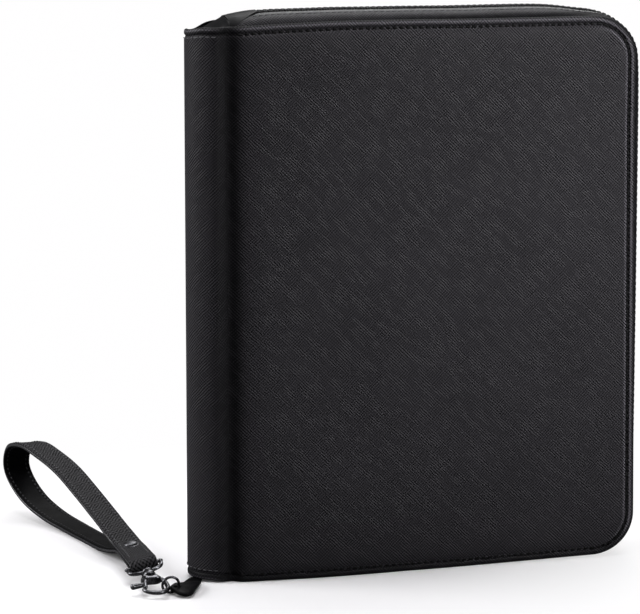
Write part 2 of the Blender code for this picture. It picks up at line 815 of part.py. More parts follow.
def build_zip_slider():
    """Slider that straddles both coils on the lower run, and the pull on its pin."""
    frame = add_empty("slider_axis", (SLIDER_X, 0.0, TAPE_RECESS))
    half = SLIDER_LENGTH / 2.0
    wide = SLIDER_WIDTH / 2.0
    shield = [
        (-half, -0.62 * wide),
        (-0.8 * half, -0.88 * wide),
        (0.4 * half, -wide),
        (0.92 * half, -0.7 * wide),
        (half, -0.3 * wide),
    ]
    shield += [(x, -y) for x, y in reversed(shield)]
    lower = flat_curve("zip_slider", [shield], PLATE_THICKNESS / 2.0)
    lower.location = (SLIDER_X, 0.0, TAPE_RECESS - PLATE_OFFSET)
    lower = as_mesh(lower)
    upper = flat_curve("slider_upper_plate", [shield], PLATE_THICKNESS / 2.0)
    upper.location = (SLIDER_X, 0.0, TAPE_RECESS + PLATE_OFFSET)
    combine(lower, as_mesh(upper), "UNION")
    post_low = (SLIDER_X - 0.0060, -GAP, TAPE_RECESS - PLATE_OFFSET)
    post_high = (SLIDER_X - 0.0010, GAP, TAPE_RECESS + PLATE_OFFSET)
    combine(lower, box("slider_post", post_low, post_high), "UNION")
    pin_z = TAPE_RECESS - PIN_DROP
    ear_top = TAPE_RECESS - PLATE_OFFSET - 0.0003
    for title, near, far in (("left", -0.0039, -0.0029), ("right", 0.0029, 0.0039)):
        low = (SLIDER_X - 0.0014, near, pin_z - 0.0012)
        high = (SLIDER_X + 0.0014, far, ear_top)
        combine(lower, box("slider_ear_" + title, low, high), "UNION")
    pin = cylinder("slider_pin", 0.0006, (SLIDER_X, -0.0034, pin_z), (SLIDER_X, 0.0034, pin_z), 16)
    combine(lower, pin, "UNION")
    attach(finish(lower, "gunmetal"), frame)
    blade = math.degrees(math.asin(0.00055 / 0.0014))
    side_view = arc((0.0, 0.0), 0.0014, blade, 360.0 - blade, 20)
    side_view += [(PULL_LENGTH, -0.00055), (PULL_LENGTH, 0.00055)]
    eye = arc((0.0, 0.0), 0.00085, 0.0, 337.5, 15)
    pull = flat_curve("zip_pull", [side_view, eye], PULL_WIDTH / 2.0)
    pull.rotation_euler = (math.pi / 2.0, 0.0, 0.0)
    pull.location = (SLIDER_X, 0.0, pin_z)
    attach(finish(pull, "gunmetal"), frame)


def hook_outline(name, outlines, half_depth):
    """Flat shape in the hook's own plane, through the bar."""
    return as_mesh(flat_curve(name, outlines, half_depth))


def turned_along(name, profile, sides):
    """Turned shape about the hook's long axis; the profile gives radius and place along it."""
    obj = turned(name, profile, sides)
    obj.rotation_euler = (-math.pi / 2.0, 0.0, 0.0)
    bpy.context.view_layer.update()
    return as_mesh(obj, name)


def hook_claw():
    """Hook body: barrel with a socket for the swivel post, forked shoulder and round claw."""
    barrel = turned_along(
        "hook_claw",
        (
            (0.0, -0.0154),
            (0.0029, -0.0154),
            (0.0029, -0.0126),
            (0.0019, -0.0126),
            (0.0019, -0.0102),
            (0.0030, -0.0102),
            (BARREL_RADIUS, -0.0108),
            (BARREL_RADIUS, -0.0180),
            (0.0, -0.0180),
        ),
        24,
    )
    shoulder = [
        (0.0032, -0.0164),
        (-0.0032, -0.0164),
        (-0.0060, -0.0178),
        (-0.0064, -0.0208),
        (-0.0046, -0.0228),
        (-0.0024, -0.0218),
        (-0.0014, -0.0198),
        (0.0022, -0.0198),
        (0.0044, -0.0210),
        (0.0060, -0.0200),
        (0.0056, -0.0176),
    ]
    combine(barrel, hook_outline("hook_shoulder", [shoulder], HOOK_THICKNESS), "UNION")
    route = [
        (0.0042, -0.0187),
        (0.0062, -0.0212),
        (0.0070, -0.0247),
        (0.0070, -0.0297),
        (0.0062, -0.0328),
        (0.0042, -0.0353),
        (0.0008, -0.0366),
        (-0.0030, -0.0360),
        (-0.0058, -0.0339),
        (-0.0073, -0.0308),
    ]
    tapers = [1.25, 1.25, 1.2, 1.2, 1.2, 1.2, 1.15, 1.05, 0.95, 0.8]
    points = [(across, along, 0.0) for across, along in route]
    combine(barrel, as_mesh(wire_curve("hook_wire", points, WIRE_RADIUS, tapers=tapers)), "UNION")
    slot = box(
        "gate_slot",
        (-0.0100, -0.0260, -GATE_THICKNESS - GAP),
        (-0.0014, -0.0181, GATE_THICKNESS + GAP),
    )
    combine(barrel, slot, "DIFFERENCE")
    combine(barrel, pin_cylinder("gate_pin_hole", GATE_HOLE, 0.0060), "DIFFERENCE")
    return finish(barrel, "gunmetal")


def pin_cylinder(name, radius, half_length):
    """Cylinder on the gate's pin, square to the hook."""
    low = (GATE_PIN_ACROSS, GATE_PIN_ALONG, -half_length)
    high = (GATE_PIN_ACROSS, GATE_PIN_ALONG, half_length)
    return cylinder(name, radius, low, high, 16)


def hook_gate():
    """Gate lever: knuckle on the pin, arm to the claw's tip and a thumb trigger to one side."""
    outline = arc((GATE_PIN_ACROSS, GATE_PIN_ALONG), 0.0019, 0.0, 180.0, 10)
    outline += [
        (-0.0066, -0.0242),
        (-0.0122, -0.0260),
        (-0.0131, -0.0274),
        (-0.0124, -0.0289),
        (-0.0071, -0.0277),
        (-0.0066, -0.0292),
        (-0.0052, -0.0300),
        (-0.0042, -0.0292),
        (-0.0034, -0.0250),
    ]
    eye = arc((GATE_PIN_ACROSS, GATE_PIN_ALONG), GATE_HOLE, 0.0, 337.5, 15)
    return finish(hook_outline("hook_gate", [outline, eye], GATE_THICKNESS), "gunmetal")


def swivel_eye():
    """Eye with a straight bar for the strap, on a headed post that turns in the hook's barrel."""
    half = [(0.0085, 0.0), (0.0093, -0.0010), (0.0093, -0.0040), (0.0080, -0.0064), (0.0045, -0.0080)]
    route = half + [(0.0, -0.0084)] + [(-across, along) for across, along in reversed(half)]
    points = [(across, along, 0.0) for across, along in route]
    loop = as_mesh(wire_curve("swivel_eye", points, WIRE_RADIUS, cyclic=True))
    post = turned_along(
        "swivel_post",
        (
            (0.0, -0.0078),
            (0.0016, -0.0078),
            (0.0016, -0.0129),
            (0.0025, -0.0129),
            (0.0025, -0.0151),
            (0.0, -0.0151),
        ),
        20,
    )
    return finish(combine(loop, post, "UNION"), "gunmetal")


def strap_rivet():
    """Domed rivet through both layers of the strap, close to the bar."""
    face = 0.0003 + 2.0 * PLY_THICKNESS + 2.0 * PLY_CLEARANCE + GAP
    profile = [(0.0, face + 0.0018)]
    for step in range(1, 6):
        angle = math.radians(18.0 * step)
        profile.append((RIVET_RADIUS * math.sin(angle), face + 0.0018 * math.cos(angle)))
    profile += [
        (RIVET_POST, face),
        (RIVET_POST, -face),
        (0.8 * RIVET_RADIUS, -face),
        (0.7 * RIVET_RADIUS, -face - 0.0006),
        (0.0, -face - 0.0006),
    ]
    obj = turned("strap_rivet", profile, 20)
    low, high = rivet_axis(face)
    turn = (high - low).to_track_quat("Z", "Y").to_matrix().to_4x4()
    obj.matrix_world = Matrix.Translation((low + high) / 2.0) @ turn
    return finish(obj, "gunmetal")


def anchor_ring():
    """Round ring that links the tab's hole and the claw."""
    bpy.ops.mesh.primitive_torus_add(
        major_radius=RING_RADIUS, minor_radius=RING_WIRE, major_segments=32, minor_segments=10
    )
    obj = bpy.context.object
    obj.name = "anchor_ring"
    for collection in list(obj.users_collection):
        collection.objects.unlink(obj)
    PARTS.objects.link(obj)
    obj.rotation_euler = (math.pi / 2.0, 0.0, 0.0)
    obj.location = (RING_ACROSS, RING_ALONG, RING_RISE)
    return finish(obj, "gunmetal")


def build_wrist_strap(spine_axis):
    """Ring, hook, gate, swivel and strap, each on its own axis, linked to the spine's tab."""
    ring_axis = add_empty("ring_axis", tab_hole(), HOOK_TURN, spine_axis)
    hook_axis = add_empty("hook_axis", hook_point(0.0070, RING_ALONG, 0.0), HOOK_TURN, ring_axis)
    pin = hook_point(GATE_PIN_ACROSS, GATE_PIN_ALONG, 0.0)
    gate_axis = add_empty("gate_axis", pin, HOOK_TURN, hook_axis)
    bar = hook_point(0.0, 0.0, 0.0)
    swivel_axis = add_empty("swivel_axis", bar, HOOK_TURN, hook_axis)
    bar_axis = add_empty("bar_axis", bar, HOOK_TURN, swivel_axis)
    level = hook_frame(0.0)
    place(anchor_ring(), ring_axis, level)
    place(hook_claw(), hook_axis, level)
    place(finish(pin_cylinder("gate_pin", GATE_PIN_RADIUS, 0.0035), "gunmetal"), hook_axis, level)
    place(hook_gate(), gate_axis, level)
    place(swivel_eye(), swivel_axis, hook_frame(EYE_ROLL))
    outer = PLY_CLEARANCE + PLY_THICKNESS
    place(strap_ply("strap_outer", PLY_CLEARANCE, outer), bar_axis)
    place(strap_ply("strap_inner", -outer, -PLY_CLEARANCE), bar_axis)
    place(strap_rivet(), bar_axis)


def main():
    """Build every piece of the case, then move it so that the origin is under its middle."""
    spine_axis = add_empty("spine_axis", (GROOVE_X, HINGE_Y, 0.0))
    front_axis = add_empty("front_axis", (GROOVE_X, -HINGE_Y, 0.0), parent=spine_axis)
    build_covers(front_axis)
    build_inside(front_axis)
    build_spine(spine_axis)
    build_zip_slider()
    build_wrist_strap(spine_axis)
    footprint = add_empty("footprint_middle", (0.0, 0.0, 0.0))
    for item in list(PARTS.objects) + list(CUTTERS.objects):
        if item.parent is None and item is not footprint:
            attach(item, footprint)
    bpy.context.view_layer.update()
    footprint.location = (FOLD_SHIFT, 0.0, 0.0)


main()
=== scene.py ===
"""Finish of the tablet folio case: skins, zip, pockets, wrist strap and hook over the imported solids.

Lengths are in metres. Pieces are worked out in case coordinates: X runs from the outer face of the
spine to the opening edge, Y from the front to the back, and Z up from the edge the case stands on.
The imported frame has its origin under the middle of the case, and make_piece moves each piece there.
"""
import logging
import math
from dataclasses import dataclass, field
from enum import Enum
from typing import Callable, Optional

import bmesh
import bpy
import numpy as np
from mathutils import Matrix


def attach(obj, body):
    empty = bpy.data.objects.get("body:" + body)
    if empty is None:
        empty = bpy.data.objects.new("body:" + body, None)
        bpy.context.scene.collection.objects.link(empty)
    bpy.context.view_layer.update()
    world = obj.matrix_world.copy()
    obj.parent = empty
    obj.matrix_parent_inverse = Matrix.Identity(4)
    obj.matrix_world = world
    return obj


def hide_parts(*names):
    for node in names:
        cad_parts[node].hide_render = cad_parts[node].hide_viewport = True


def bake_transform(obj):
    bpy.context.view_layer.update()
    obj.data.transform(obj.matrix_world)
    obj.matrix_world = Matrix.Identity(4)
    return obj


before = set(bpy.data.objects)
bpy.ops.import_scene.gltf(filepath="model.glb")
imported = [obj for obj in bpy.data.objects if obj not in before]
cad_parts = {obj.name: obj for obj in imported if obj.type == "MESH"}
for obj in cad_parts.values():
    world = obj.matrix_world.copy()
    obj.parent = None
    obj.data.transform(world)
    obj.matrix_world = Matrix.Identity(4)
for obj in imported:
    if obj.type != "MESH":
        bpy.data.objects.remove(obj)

Array = np.ndarray
Material = bpy.types.Material
Socket = bpy.types.NodeSocket
LOG = logging.getLogger("folio_case")
X_AXIS, Y_AXIS, Z_AXIS = np.eye(3)
MIRROR = np.array((-1.0, 1.0))
MERGE_DISTANCE = 0.000002
# At a scale of 1, Blender's wave texture repeats after this length.
WAVE_PERIOD = 0.31416
# Width of the flat map round a piece that is turned or wrapped.
MAP_WIDTH = 0.02
# Angle in degrees past which the edges of most pieces stay crisp.
CRISP = 50.0


class Side(Enum):
    """Which cover a piece belongs to; the value is the sign of Y on that cover's outside."""

    FRONT = -1.0
    BACK = 1.0

    @property
    def word(self) -> str:
        """Name of the side in lower case."""
        return self.name.lower()

    @property
    def body(self) -> str:
        """Name of the CAD body of this cover."""
        return self.word + "_cover"


@dataclass(frozen=True)
class CaseSizes:
    """Sizes that more than one sub-assembly needs."""

    height: float = 0.310
    width: float = 0.252
    half_depth: float = 0.018
    corner: float = 0.024
    fold_shift: float = -0.126
    groove_x: float = 0.0201
    spine_half: float = 0.0176
    spine_low: float = 0.0013
    spine_top: float = 0.3077
    hinge_x: float = 0.0204
    foot_spread: float = 0.0026
    foot_rise: float = 0.0016
    foot_bulge: float = 0.16
    slider_half: float = 0.0088
    slider_fade: float = 0.006
    rise_from: float = 0.14
    rise_run: float = 0.11
    spread_height: float = 0.25
    bulge_x: float = 0.078
    bulge_reach: float = 0.050
    bulge_height: float = 0.11
    arch_x: tuple = (0.0, 0.020, 0.045, 0.083, 0.120, 0.150, 0.205, 0.260)
    arch_rise: tuple = (0.0, 0.0, 0.0009, 0.0014, 0.0008, 0.0, -0.0008, -0.0017)

    def lean(self, points: Array) -> Array:
        """Give points of the soft case the bow of its edges.

        The upper edge follows a curve of X, and the foot comes up a little at its outer corner, but not in
        the middle where the slider runs. It spreads in X and bulges in Y by a bell curve of X.

        Args:
            points: points of a straight case.

        Returns:
            The points moved.
        """
        x, y, z = (points[..., number] for number in range(3))
        tall = np.clip(z / self.height, -0.02, 1.02)
        bow = np.interp(x, self.arch_x, self.arch_rise) * tall
        clear = smooth((np.abs(y) - self.slider_half) / self.slider_fade)
        rise = self.foot_rise * smooth((x - self.rise_from) / self.rise_run) * clear
        bow = bow + rise * (1.0 - tall)
        foot = np.clip(1.0 - z / self.spread_height, 0.0, 1.0)
        spread = self.foot_spread * foot * np.clip(x / self.width, 0.0, 1.05)
        foot = np.clip(1.0 - z / self.bulge_height, 0.0, 1.0)
        bulge = self.foot_bulge * bell(x - self.bulge_x, self.bulge_reach) * foot ** 2
        return stacked(x + spread, y * (1.0 + bulge), z + bow)

    def spine_curve(self, angle: Array) -> tuple[Array, Array, Array]:
        """X, Y and outward direction in plan of the spine's face, an ellipse, at angles from the fold."""
        x = self.groove_x * (1.0 - np.cos(angle))
        y = self.spine_half * np.sin(angle)
        return x, y, unit(stacked(-self.spine_half * np.cos(angle), self.groove_x * np.sin(angle)))


CASE = CaseSizes()


def smooth(value: Array) -> Array:
    """Smooth step: three v squared minus two v cubed, with v held between 0 and 1."""
    held = np.clip(value, 0.0, 1.0)
    return held * held * (3.0 - 2.0 * held)


def bell(distance: Array, reach: Array, power: float = 2) -> Array:
    """Bell curve: e to minus the power of the distance over the reach."""
    return np.exp(-((distance / reach) ** power))


def round_off(inset: Array, radius: float) -> Array:
    """How far a rounded edge falls back: the gap between a quarter circle and its square."""
    near = np.clip(radius - inset, 0.0, radius)
    return radius - np.sqrt(radius ** 2 - near ** 2)


def quarter(count: int) -> Array:
    """Angles from zero to a right angle."""
    return np.radians(np.linspace(0.0, 90.0, count))


def stacked(*parts: Array) -> Array:
    """Points from their coordinates, which are first given one shape."""
    return np.stack(np.broadcast_arrays(*parts), axis=-1)


def look_up(wanted: Array, run: Array, rows: Array) -> Array:
    """Rows at wanted distances along a run, each column on straight lines between its values."""
    return np.stack([np.interp(wanted, run, column) for column in rows.T], axis=1)


def unit(vectors: Array) -> Array:
    """Vectors of the same directions with length one."""
    return vectors / np.linalg.norm(vectors, axis=-1, keepdims=True)


def run_length(points: Array) -> Array:
    """Distance travelled along a row of points, starting at zero."""
    steps = np.linalg.norm(np.diff(points, axis=0), axis=1)
    return np.concatenate([[0.0], np.cumsum(steps)])


def spline(knots: Array | tuple, closed: bool, count: int) -> Array:
    """Even samples of a smooth curve through knots, by the cubic of Catmull and Rom.

    Args:
        knots: points that the curve passes through, one per row.
        closed: whether the curve comes back to its first knot.
        count: number of samples; a closed curve repeats its first point at the end.

    Returns:
        The samples, one per row, evenly spaced along the curve.
    """
    knots = np.asarray(knots)
    if closed:
        ring = np.concatenate([knots[-1:], knots, knots[:2]])
    else:
        first = 2.0 * knots[:1] - knots[1:2]
        last = 2.0 * knots[-1:] - knots[-2:-1]
        ring = np.concatenate([first, knots, last])
    a, b, c, d = ring[:-3, None], ring[1:-2, None], ring[2:-1, None], ring[3:, None]
    t = np.linspace(0.0, 1.0, 16, endpoint=False)[None, :, None]
    bend = 2.0 * a - 5.0 * b + 4.0 * c - d
    twist = -a + 3.0 * b - 3.0 * c + d
    fine = (0.5 * (2.0 * b + (c - a) * t + bend * t ** 2 + twist * t ** 3)).reshape(-1, knots.shape[1])
    fine = np.concatenate([fine, ring[-2:-1]])
    run = run_length(fine)
    return look_up(np.linspace(0.0, run[-1], count), run, fine)


@dataclass
class Surface:
    """One or more shells: points, four-sided faces and a flat map in metres."""

    points: Array
    quads: Array
    flat: Array
    # Painted highlights and painted shade at each point, where the piece has them.
    shade: Optional[Array] = None

    @staticmethod
    def join(parts: list["Surface"]) -> "Surface":
        """Put several shells into one surface."""
        starts = np.cumsum([0] + [len(part.points) for part in parts[:-1]])
        return Surface(
            np.concatenate([part.points for part in parts]),
            np.concatenate([part.quads + start for part, start in zip(parts, starts)]),
            np.concatenate([part.flat for part in parts]),
        )


def grid_quads(rows: int, columns: int) -> Array:
    """Faces between neighbours of a grid that is stored row by row."""
    index = np.arange(rows * columns).reshape(rows, columns)
    return stacked(index[:-1, :-1], index[:-1, 1:], index[1:, 1:], index[1:, :-1]).reshape(-1, 4)


def grid(points: Array, flat: Array) -> Surface:
    """Open surface from a grid of points; a seam is closed by a repeated row or column."""
    rows, columns = points.shape[:2]
    return Surface(points.reshape(-1, 3), grid_quads(rows, columns), flat.reshape(-1, 2))


def slab(outer: Array, inner: Array, flat: Array, shade: Optional[Array] = None) -> Surface:
    """Closed shell between two grids of the same shape, with a rim round their edges."""
    rows, columns = outer.shape[:2]
    index = np.arange(rows * columns).reshape(rows, columns)
    edge = np.concatenate([index[0], index[1:, -1], index[-1, -2::-1], index[-2::-1, 0]])
    total = rows * columns
    rim = stacked(edge[:-1], edge[1:], edge[1:] + total, edge[:-1] + total)
    faces = grid_quads(rows, columns)
    return Surface(
        np.concatenate([outer.reshape(-1, 3), inner.reshape(-1, 3)]),
        np.concatenate([faces, faces[:, ::-1] + total, rim]),
        np.concatenate([flat.reshape(-1, 2), flat.reshape(-1, 2)]),
        None if shade is None else np.tile(shade.ravel(), 2),
    )


def sweep(path: Array, side: Array, up: Array, profile: Array, capped: bool = True) -> Surface:
    """Carry a closed profile along a path: point = path + a times side + b times up.

    Args:
        path: points along the way, shape (n, 3).
        side: first direction of the profile, one for all points or one for each.
        up: second direction of the profile, likewise.
        profile: closed profile of (a, b) pairs, shape (m, 2), or (n, m, 2) where it changes.
        capped: whether both ends are drawn together to a point.

    Returns:
        The surface, with the run along the path and round the profile as its flat map.
    """
    side, up = (np.broadcast_to(way, path.shape) for way in (side, up))
    shape = np.broadcast_to(profile, (len(path),) + profile.shape[-2:])
    rings = path[:, None] + shape[..., :1] * side[:, None] + shape[..., 1:] * up[:, None]
    flat = stacked(run_length(path)[:, None], run_length(shape[len(path) // 2])[None, :])
    if capped:
        first = np.broadcast_to(rings[:1].mean(axis=1, keepdims=True), rings[:1].shape)
        last = np.broadcast_to(rings[-1:].mean(axis=1, keepdims=True), rings[-1:].shape)
        rings = np.concatenate([first, rings, last])
        flat = np.concatenate([flat[:1], flat, flat[-1:]])
    return grid(rings, flat)


def circle(count: int) -> Array:
    """Closed circle of radius one as (cosine, sine) pairs."""
    angle = np.linspace(0.0, 2.0 * math.pi, count + 1)
    return stacked(np.cos(angle), np.sin(angle))


def lathe(profile: Array | tuple, base: Array, axis: Array, side: Array, count: int = 40) -> Surface:
    """Turn a profile of (radius, place along the axis) pairs round an axis through base.

    Args:
        profile: the pairs, from end to end.
        base: the point on the axis that places are counted from.
        axis: direction of the axis.
        side: a direction square to it, where the seam lies.
        count: number of steps round the axis.

    Returns:
        The turned surface.
    """
    profile = np.asarray(profile)
    ring = circle(count)
    spoke = ring[:, :1] * side + ring[:, 1:] * np.cross(axis, side)
    points = base + profile[:, 1][:, None, None] * axis + profile[:, 0][:, None, None] * spoke[None]
    around = np.linspace(0.0, MAP_WIDTH, count + 1)
    return grid(points, stacked(around[None, :], run_length(profile)[:, None]))


def pill(length: float, width: float, height: float, rows: int = 4, columns: int = 8) -> Surface:
    """Closed rounded bar along the first axis: an ellipsoid with blunt ends.

    With p from pole to pole and q round it, the length goes with the sine of p to the power 0.6,
    and the width and height with the cosine of p to the power 0.5.
    """
    p = np.linspace(-math.pi / 2.0, math.pi / 2.0, rows + 1)[:, None]
    ring = circle(columns)[None]
    slim = np.abs(np.cos(p)) ** 0.5
    slim[[0, -1]] = 0.0
    along = np.sign(np.sin(p)) * np.abs(np.sin(p)) ** 0.6 * length / 2.0
    points = stacked(along, slim * ring[..., 0] * width / 2.0, slim * ring[..., 1] * height / 2.0)
    return grid(points, points[..., :2].copy())


def repeat(base: Surface, places: Array, axes: Array) -> Surface:
    """Copy a small shell to many places.

    Args:
        base: the shell, about its own origin.
        places: where the origins go, shape (k, 3).
        axes: the three directions of each copy as rows, shape (k, 3, 3).

    Returns:
        All the copies in one surface.
    """
    points = places[:, None] + np.einsum("nj,kji->kni", base.points, axes)
    starts = np.arange(len(places))[:, None, None] * len(base.points)
    return Surface(
        points.reshape(-1, 3),
        (base.quads[None] + starts).reshape(-1, 4),
        np.tile(base.flat, (len(places), 1)) + np.repeat(places[:, [0, 2]], len(base.points), axis=0),
    )


def stitch_row(path: Array, normal: Array, pitch: float, stitch: Surface, slant: float = 0.0) -> Surface:
    """Stitches at an even pitch along a path, lying on the surface whose normal is given.

    Args:
        path: points along the seam.
        normal: outward direction, one for all points or one for each.
        pitch: distance from stitch to stitch.
        stitch: one stitch along the first axis.
        slant: how far each stitch turns from the seam, in radians.

    Returns:
        All the stitches in one surface.
    """
    run = run_length(path)
    count = max(int(run[-1] / pitch), 1)
    wanted = (np.arange(count) + 0.5) * run[-1] / count
    place = look_up(wanted, run, path)
    ahead = look_up(wanted, run, np.gradient(path, axis=0))
    up = unit(look_up(wanted, run, np.broadcast_to(normal, path.shape)))
    ahead = unit(ahead - up * np.sum(ahead * up, axis=1, keepdims=True))
    across = np.cross(up, ahead)
    turned = ahead * math.cos(slant) + across * math.sin(slant)
    return repeat(stitch, place, np.stack([turned, np.cross(up, turned), up], axis=1))


def make_piece(
    name: str, surface: Surface, material: Material, body: Optional[str] = None,
    sharp: Optional[float] = None,
) -> bpy.types.Object:
    """Put a surface into the scene as one named piece.

    Args:
        name: the piece's name.
        surface: its points, faces and flat map in case coordinates.
        material: its finish.
        body: the CAD body it rides on, or None.
        sharp: angle in degrees past which an edge stays crisp, or None for smooth all over.

    Returns:
        The new object, at the origin with its place in its mesh.
    """
    mesh = bpy.data.meshes.new(name)
    points = surface.points + CASE.fold_shift * X_AXIS
    mesh.from_pydata(points.tolist(), [], surface.quads.tolist())
    layer = mesh.uv_layers.new(name="metres")
    corner = np.empty(len(mesh.loops), dtype=np.int32)
    mesh.loops.foreach_get("vertex_index", corner)
    layer.data.foreach_set("uv", surface.flat[corner].astype(np.float32).ravel())
    # The shade attribute carries the piece's painted highlights and painted shade.
    if surface.shade is not None:
        tone = mesh.attributes.new("shade", "FLOAT", "POINT")
        tone.data.foreach_set("value", surface.shade.astype(np.float32))
    work = bmesh.new()
    work.from_mesh(mesh)
    bmesh.ops.remove_doubles(work, verts=work.verts, dist=MERGE_DISTANCE)
    bmesh.ops.recalc_face_normals(work, faces=work.faces)
    work.to_mesh(mesh)
    work.free()
    mesh.polygons.foreach_set("use_smooth", np.ones(len(mesh.polygons), dtype=bool))
    if sharp is not None:
        mesh.set_sharp_from_angle(angle=math.radians(sharp))
    mesh.materials.append(material)
    piece = bpy.data.objects.new(name, mesh)
    bpy.context.scene.collection.objects.link(piece)
    if body is not None:
        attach(piece, body)
    LOG.info("%s: %d faces on %s", name, len(mesh.polygons), body or "two bodies")
    return piece


class Shader:
    """A material under construction, with short calls for its nodes."""

    def __init__(self, name: str) -> None:
        """Start a material that has only its principled shader."""
        self.material = bpy.data.materials.new(name)
        self.material.use_nodes = True
        self.tree = self.material.node_tree
        self.principled = self.tree.nodes["Principled BSDF"]

    @staticmethod
    def socket(key: str) -> str:
        """Name of a socket from a keyword: specular_IOR_level stands for Specular IOR Level."""
        return key.replace("_", " ").title().replace("Ior", "IOR")

    def add(self, kind: str, **values: object) -> bpy.types.Node:
        """Add a node and set its options and input values by name."""
        node = self.tree.nodes.new(kind)
        for key, value in values.items():
            if hasattr(node, key):
                setattr(node, key, value)
            else:
                node.inputs[self.socket(key)].default_value = value
        return node

    def link(self, source: Socket, target: Socket) -> None:
        """Join an output to an input."""
        self.tree.links.new(source, target)

    def set(self, **values: object) -> None:
        """Set constant values on the principled shader's own sockets."""
        for key, value in values.items():
            self.principled.inputs[self.socket(key)].default_value = value

    def coordinates(self, flat: bool) -> Socket:
        """The piece's own flat map in metres, or its object coordinates."""
        if flat:
            return self.add("ShaderNodeUVMap", uv_map="metres").outputs["UV"]
        return self.add("ShaderNodeTexCoord").outputs["Object"]

    def turned(self, source: Socket, turn: float, scale: tuple = (1.0, 1.0, 1.0)) -> Socket:
        """Coordinates turned about Z, with the sizes of one unit along the turned axes."""
        mapping = self.add("ShaderNodeMapping", vector_type="TEXTURE")
        mapping.inputs["Rotation"].default_value = (0.0, 0.0, turn)
        mapping.inputs["Scale"].default_value = scale
        self.link(source, mapping.inputs["Vector"])
        return mapping.outputs["Vector"]

    def texture(self, kind: str, place: Socket, **values: object) -> Socket:
        """Value of a new texture node at the given coordinates."""
        node = self.add(kind, **values)
        self.link(place, node.inputs["Vector"])
        return node.outputs["Fac"]

    def streaks(self, source: Socket, turn: float, length: float, width: float) -> Socket:
        """Noise drawn out into strokes of a length and width along a turned direction."""
        place = self.turned(source, turn, (length, width, length))
        return self.texture("ShaderNodeTexNoise", place, scale=1.0, detail=1.5, roughness=0.55)

    def hatch(self, source: Socket, turn: float, pitch: float, stroke: float) -> Socket:
        """Broken hatch lines along a turned direction: fine waves times patches drawn out along them.

        The waves are raised to the power 0.6, which leaves narrow dark lines between broad pale ones.

        Args:
            source: coordinates in metres.
            turn: direction of the lines.
            pitch: distance from line to line.
            stroke: length of the patches in which the lines show.

        Returns:
            A height about zero, from about -0.6 to 0.4.
        """
        wave = self.texture(
            "ShaderNodeTexWave", self.turned(source, turn), bands_direction="Y", scale=WAVE_PERIOD / pitch,
            distortion=2.6, detail=2.0, detail_scale=0.9,
        )
        lines = self.math("SUBTRACT", self.math("POWER", wave, 0.6), 0.62)
        patches = self.spread(self.streaks(source, turn, stroke, 3.2 * pitch), 0.43, 0.61, 0.20, 1.0)
        return self.math("MULTIPLY", lines, patches)

    def noise(self, source: Socket, scale: float) -> Socket:
        """Plain noise with a number of features per metre."""
        return self.texture("ShaderNodeTexNoise", source, scale=scale, detail=2.0, roughness=0.55)

    def ribs(self, source: Socket, pitch: float, turn: float) -> Socket:
        """Even ribs at a pitch in metres, across a turned direction."""
        place = self.turned(source, turn)
        return self.texture("ShaderNodeTexWave", place, scale=WAVE_PERIOD / pitch, distortion=0.6, detail=1.0)

    def spread(self, source: Socket, low: float, high: float, first: float, last: float) -> Socket:
        """Stretch values between low and high to the range from first to last."""
        node = self.add("ShaderNodeMapRange")
        for key, value in (("From Min", low), ("From Max", high), ("To Min", first), ("To Max", last)):
            node.inputs[key].default_value = value
        self.link(source, node.inputs["Value"])
        return node.outputs["Result"]

    def math(self, operation: str, first: Socket, second: object) -> Socket:
        """One step of arithmetic on a value and another value or number."""
        node = self.add("ShaderNodeMath", operation=operation)
        self.link(first, node.inputs[0])
        if isinstance(second, Socket):
            self.link(second, node.inputs[1])
        else:
            node.inputs[1].default_value = second
        return node.outputs[0]

    def colour(self, factor: Socket, stops: list[tuple[float, tuple]]) -> Socket:
        """Colours looked up along a ramp."""
        node = self.add("ShaderNodeValToRGB")
        ramp = node.color_ramp
        while len(ramp.elements) < len(stops):
            ramp.elements.new(1.0)
        for element, (place, shade) in zip(ramp.elements, stops):
            element.position = place
            element.color = (*shade, 1.0)
        self.link(factor, node.inputs["Fac"])
        return node.outputs["Color"]

    def bump(self, height: Socket, depth: float, strength: float) -> None:
        """Raise the surface by a height of up to depth metres."""
        node = self.add("ShaderNodeBump")
        node.inputs["Strength"].default_value = strength
        node.inputs["Distance"].default_value = depth
        self.link(height, node.inputs["Height"])
        self.link(node.outputs["Normal"], self.principled.inputs["Normal"])

    def finish(
        self, tone: Socket, stops: list[tuple[float, tuple]], rough: Socket, height: Socket, depth: float,
        strength: float, **values: object,
    ) -> Material:
        """Feed the principled shader with its colour, roughness, constants and bumps.

        Args:
            tone: place on the colour ramp.
            stops: places and colours of the ramp.
            rough: the roughness.
            height: height of the bumps.
            depth: metres that a height of 1 stands for.
            strength: share of the bumps that shows.
            values: constants of the principled shader, by names that the socket method spells out.

        Returns:
            The finished material.
        """
        self.link(self.colour(tone, stops), self.principled.inputs["Base Color"])
        self.link(rough, self.principled.inputs["Roughness"])
        self.set(**values)
        self.bump(height, depth, strength)
        return self.material


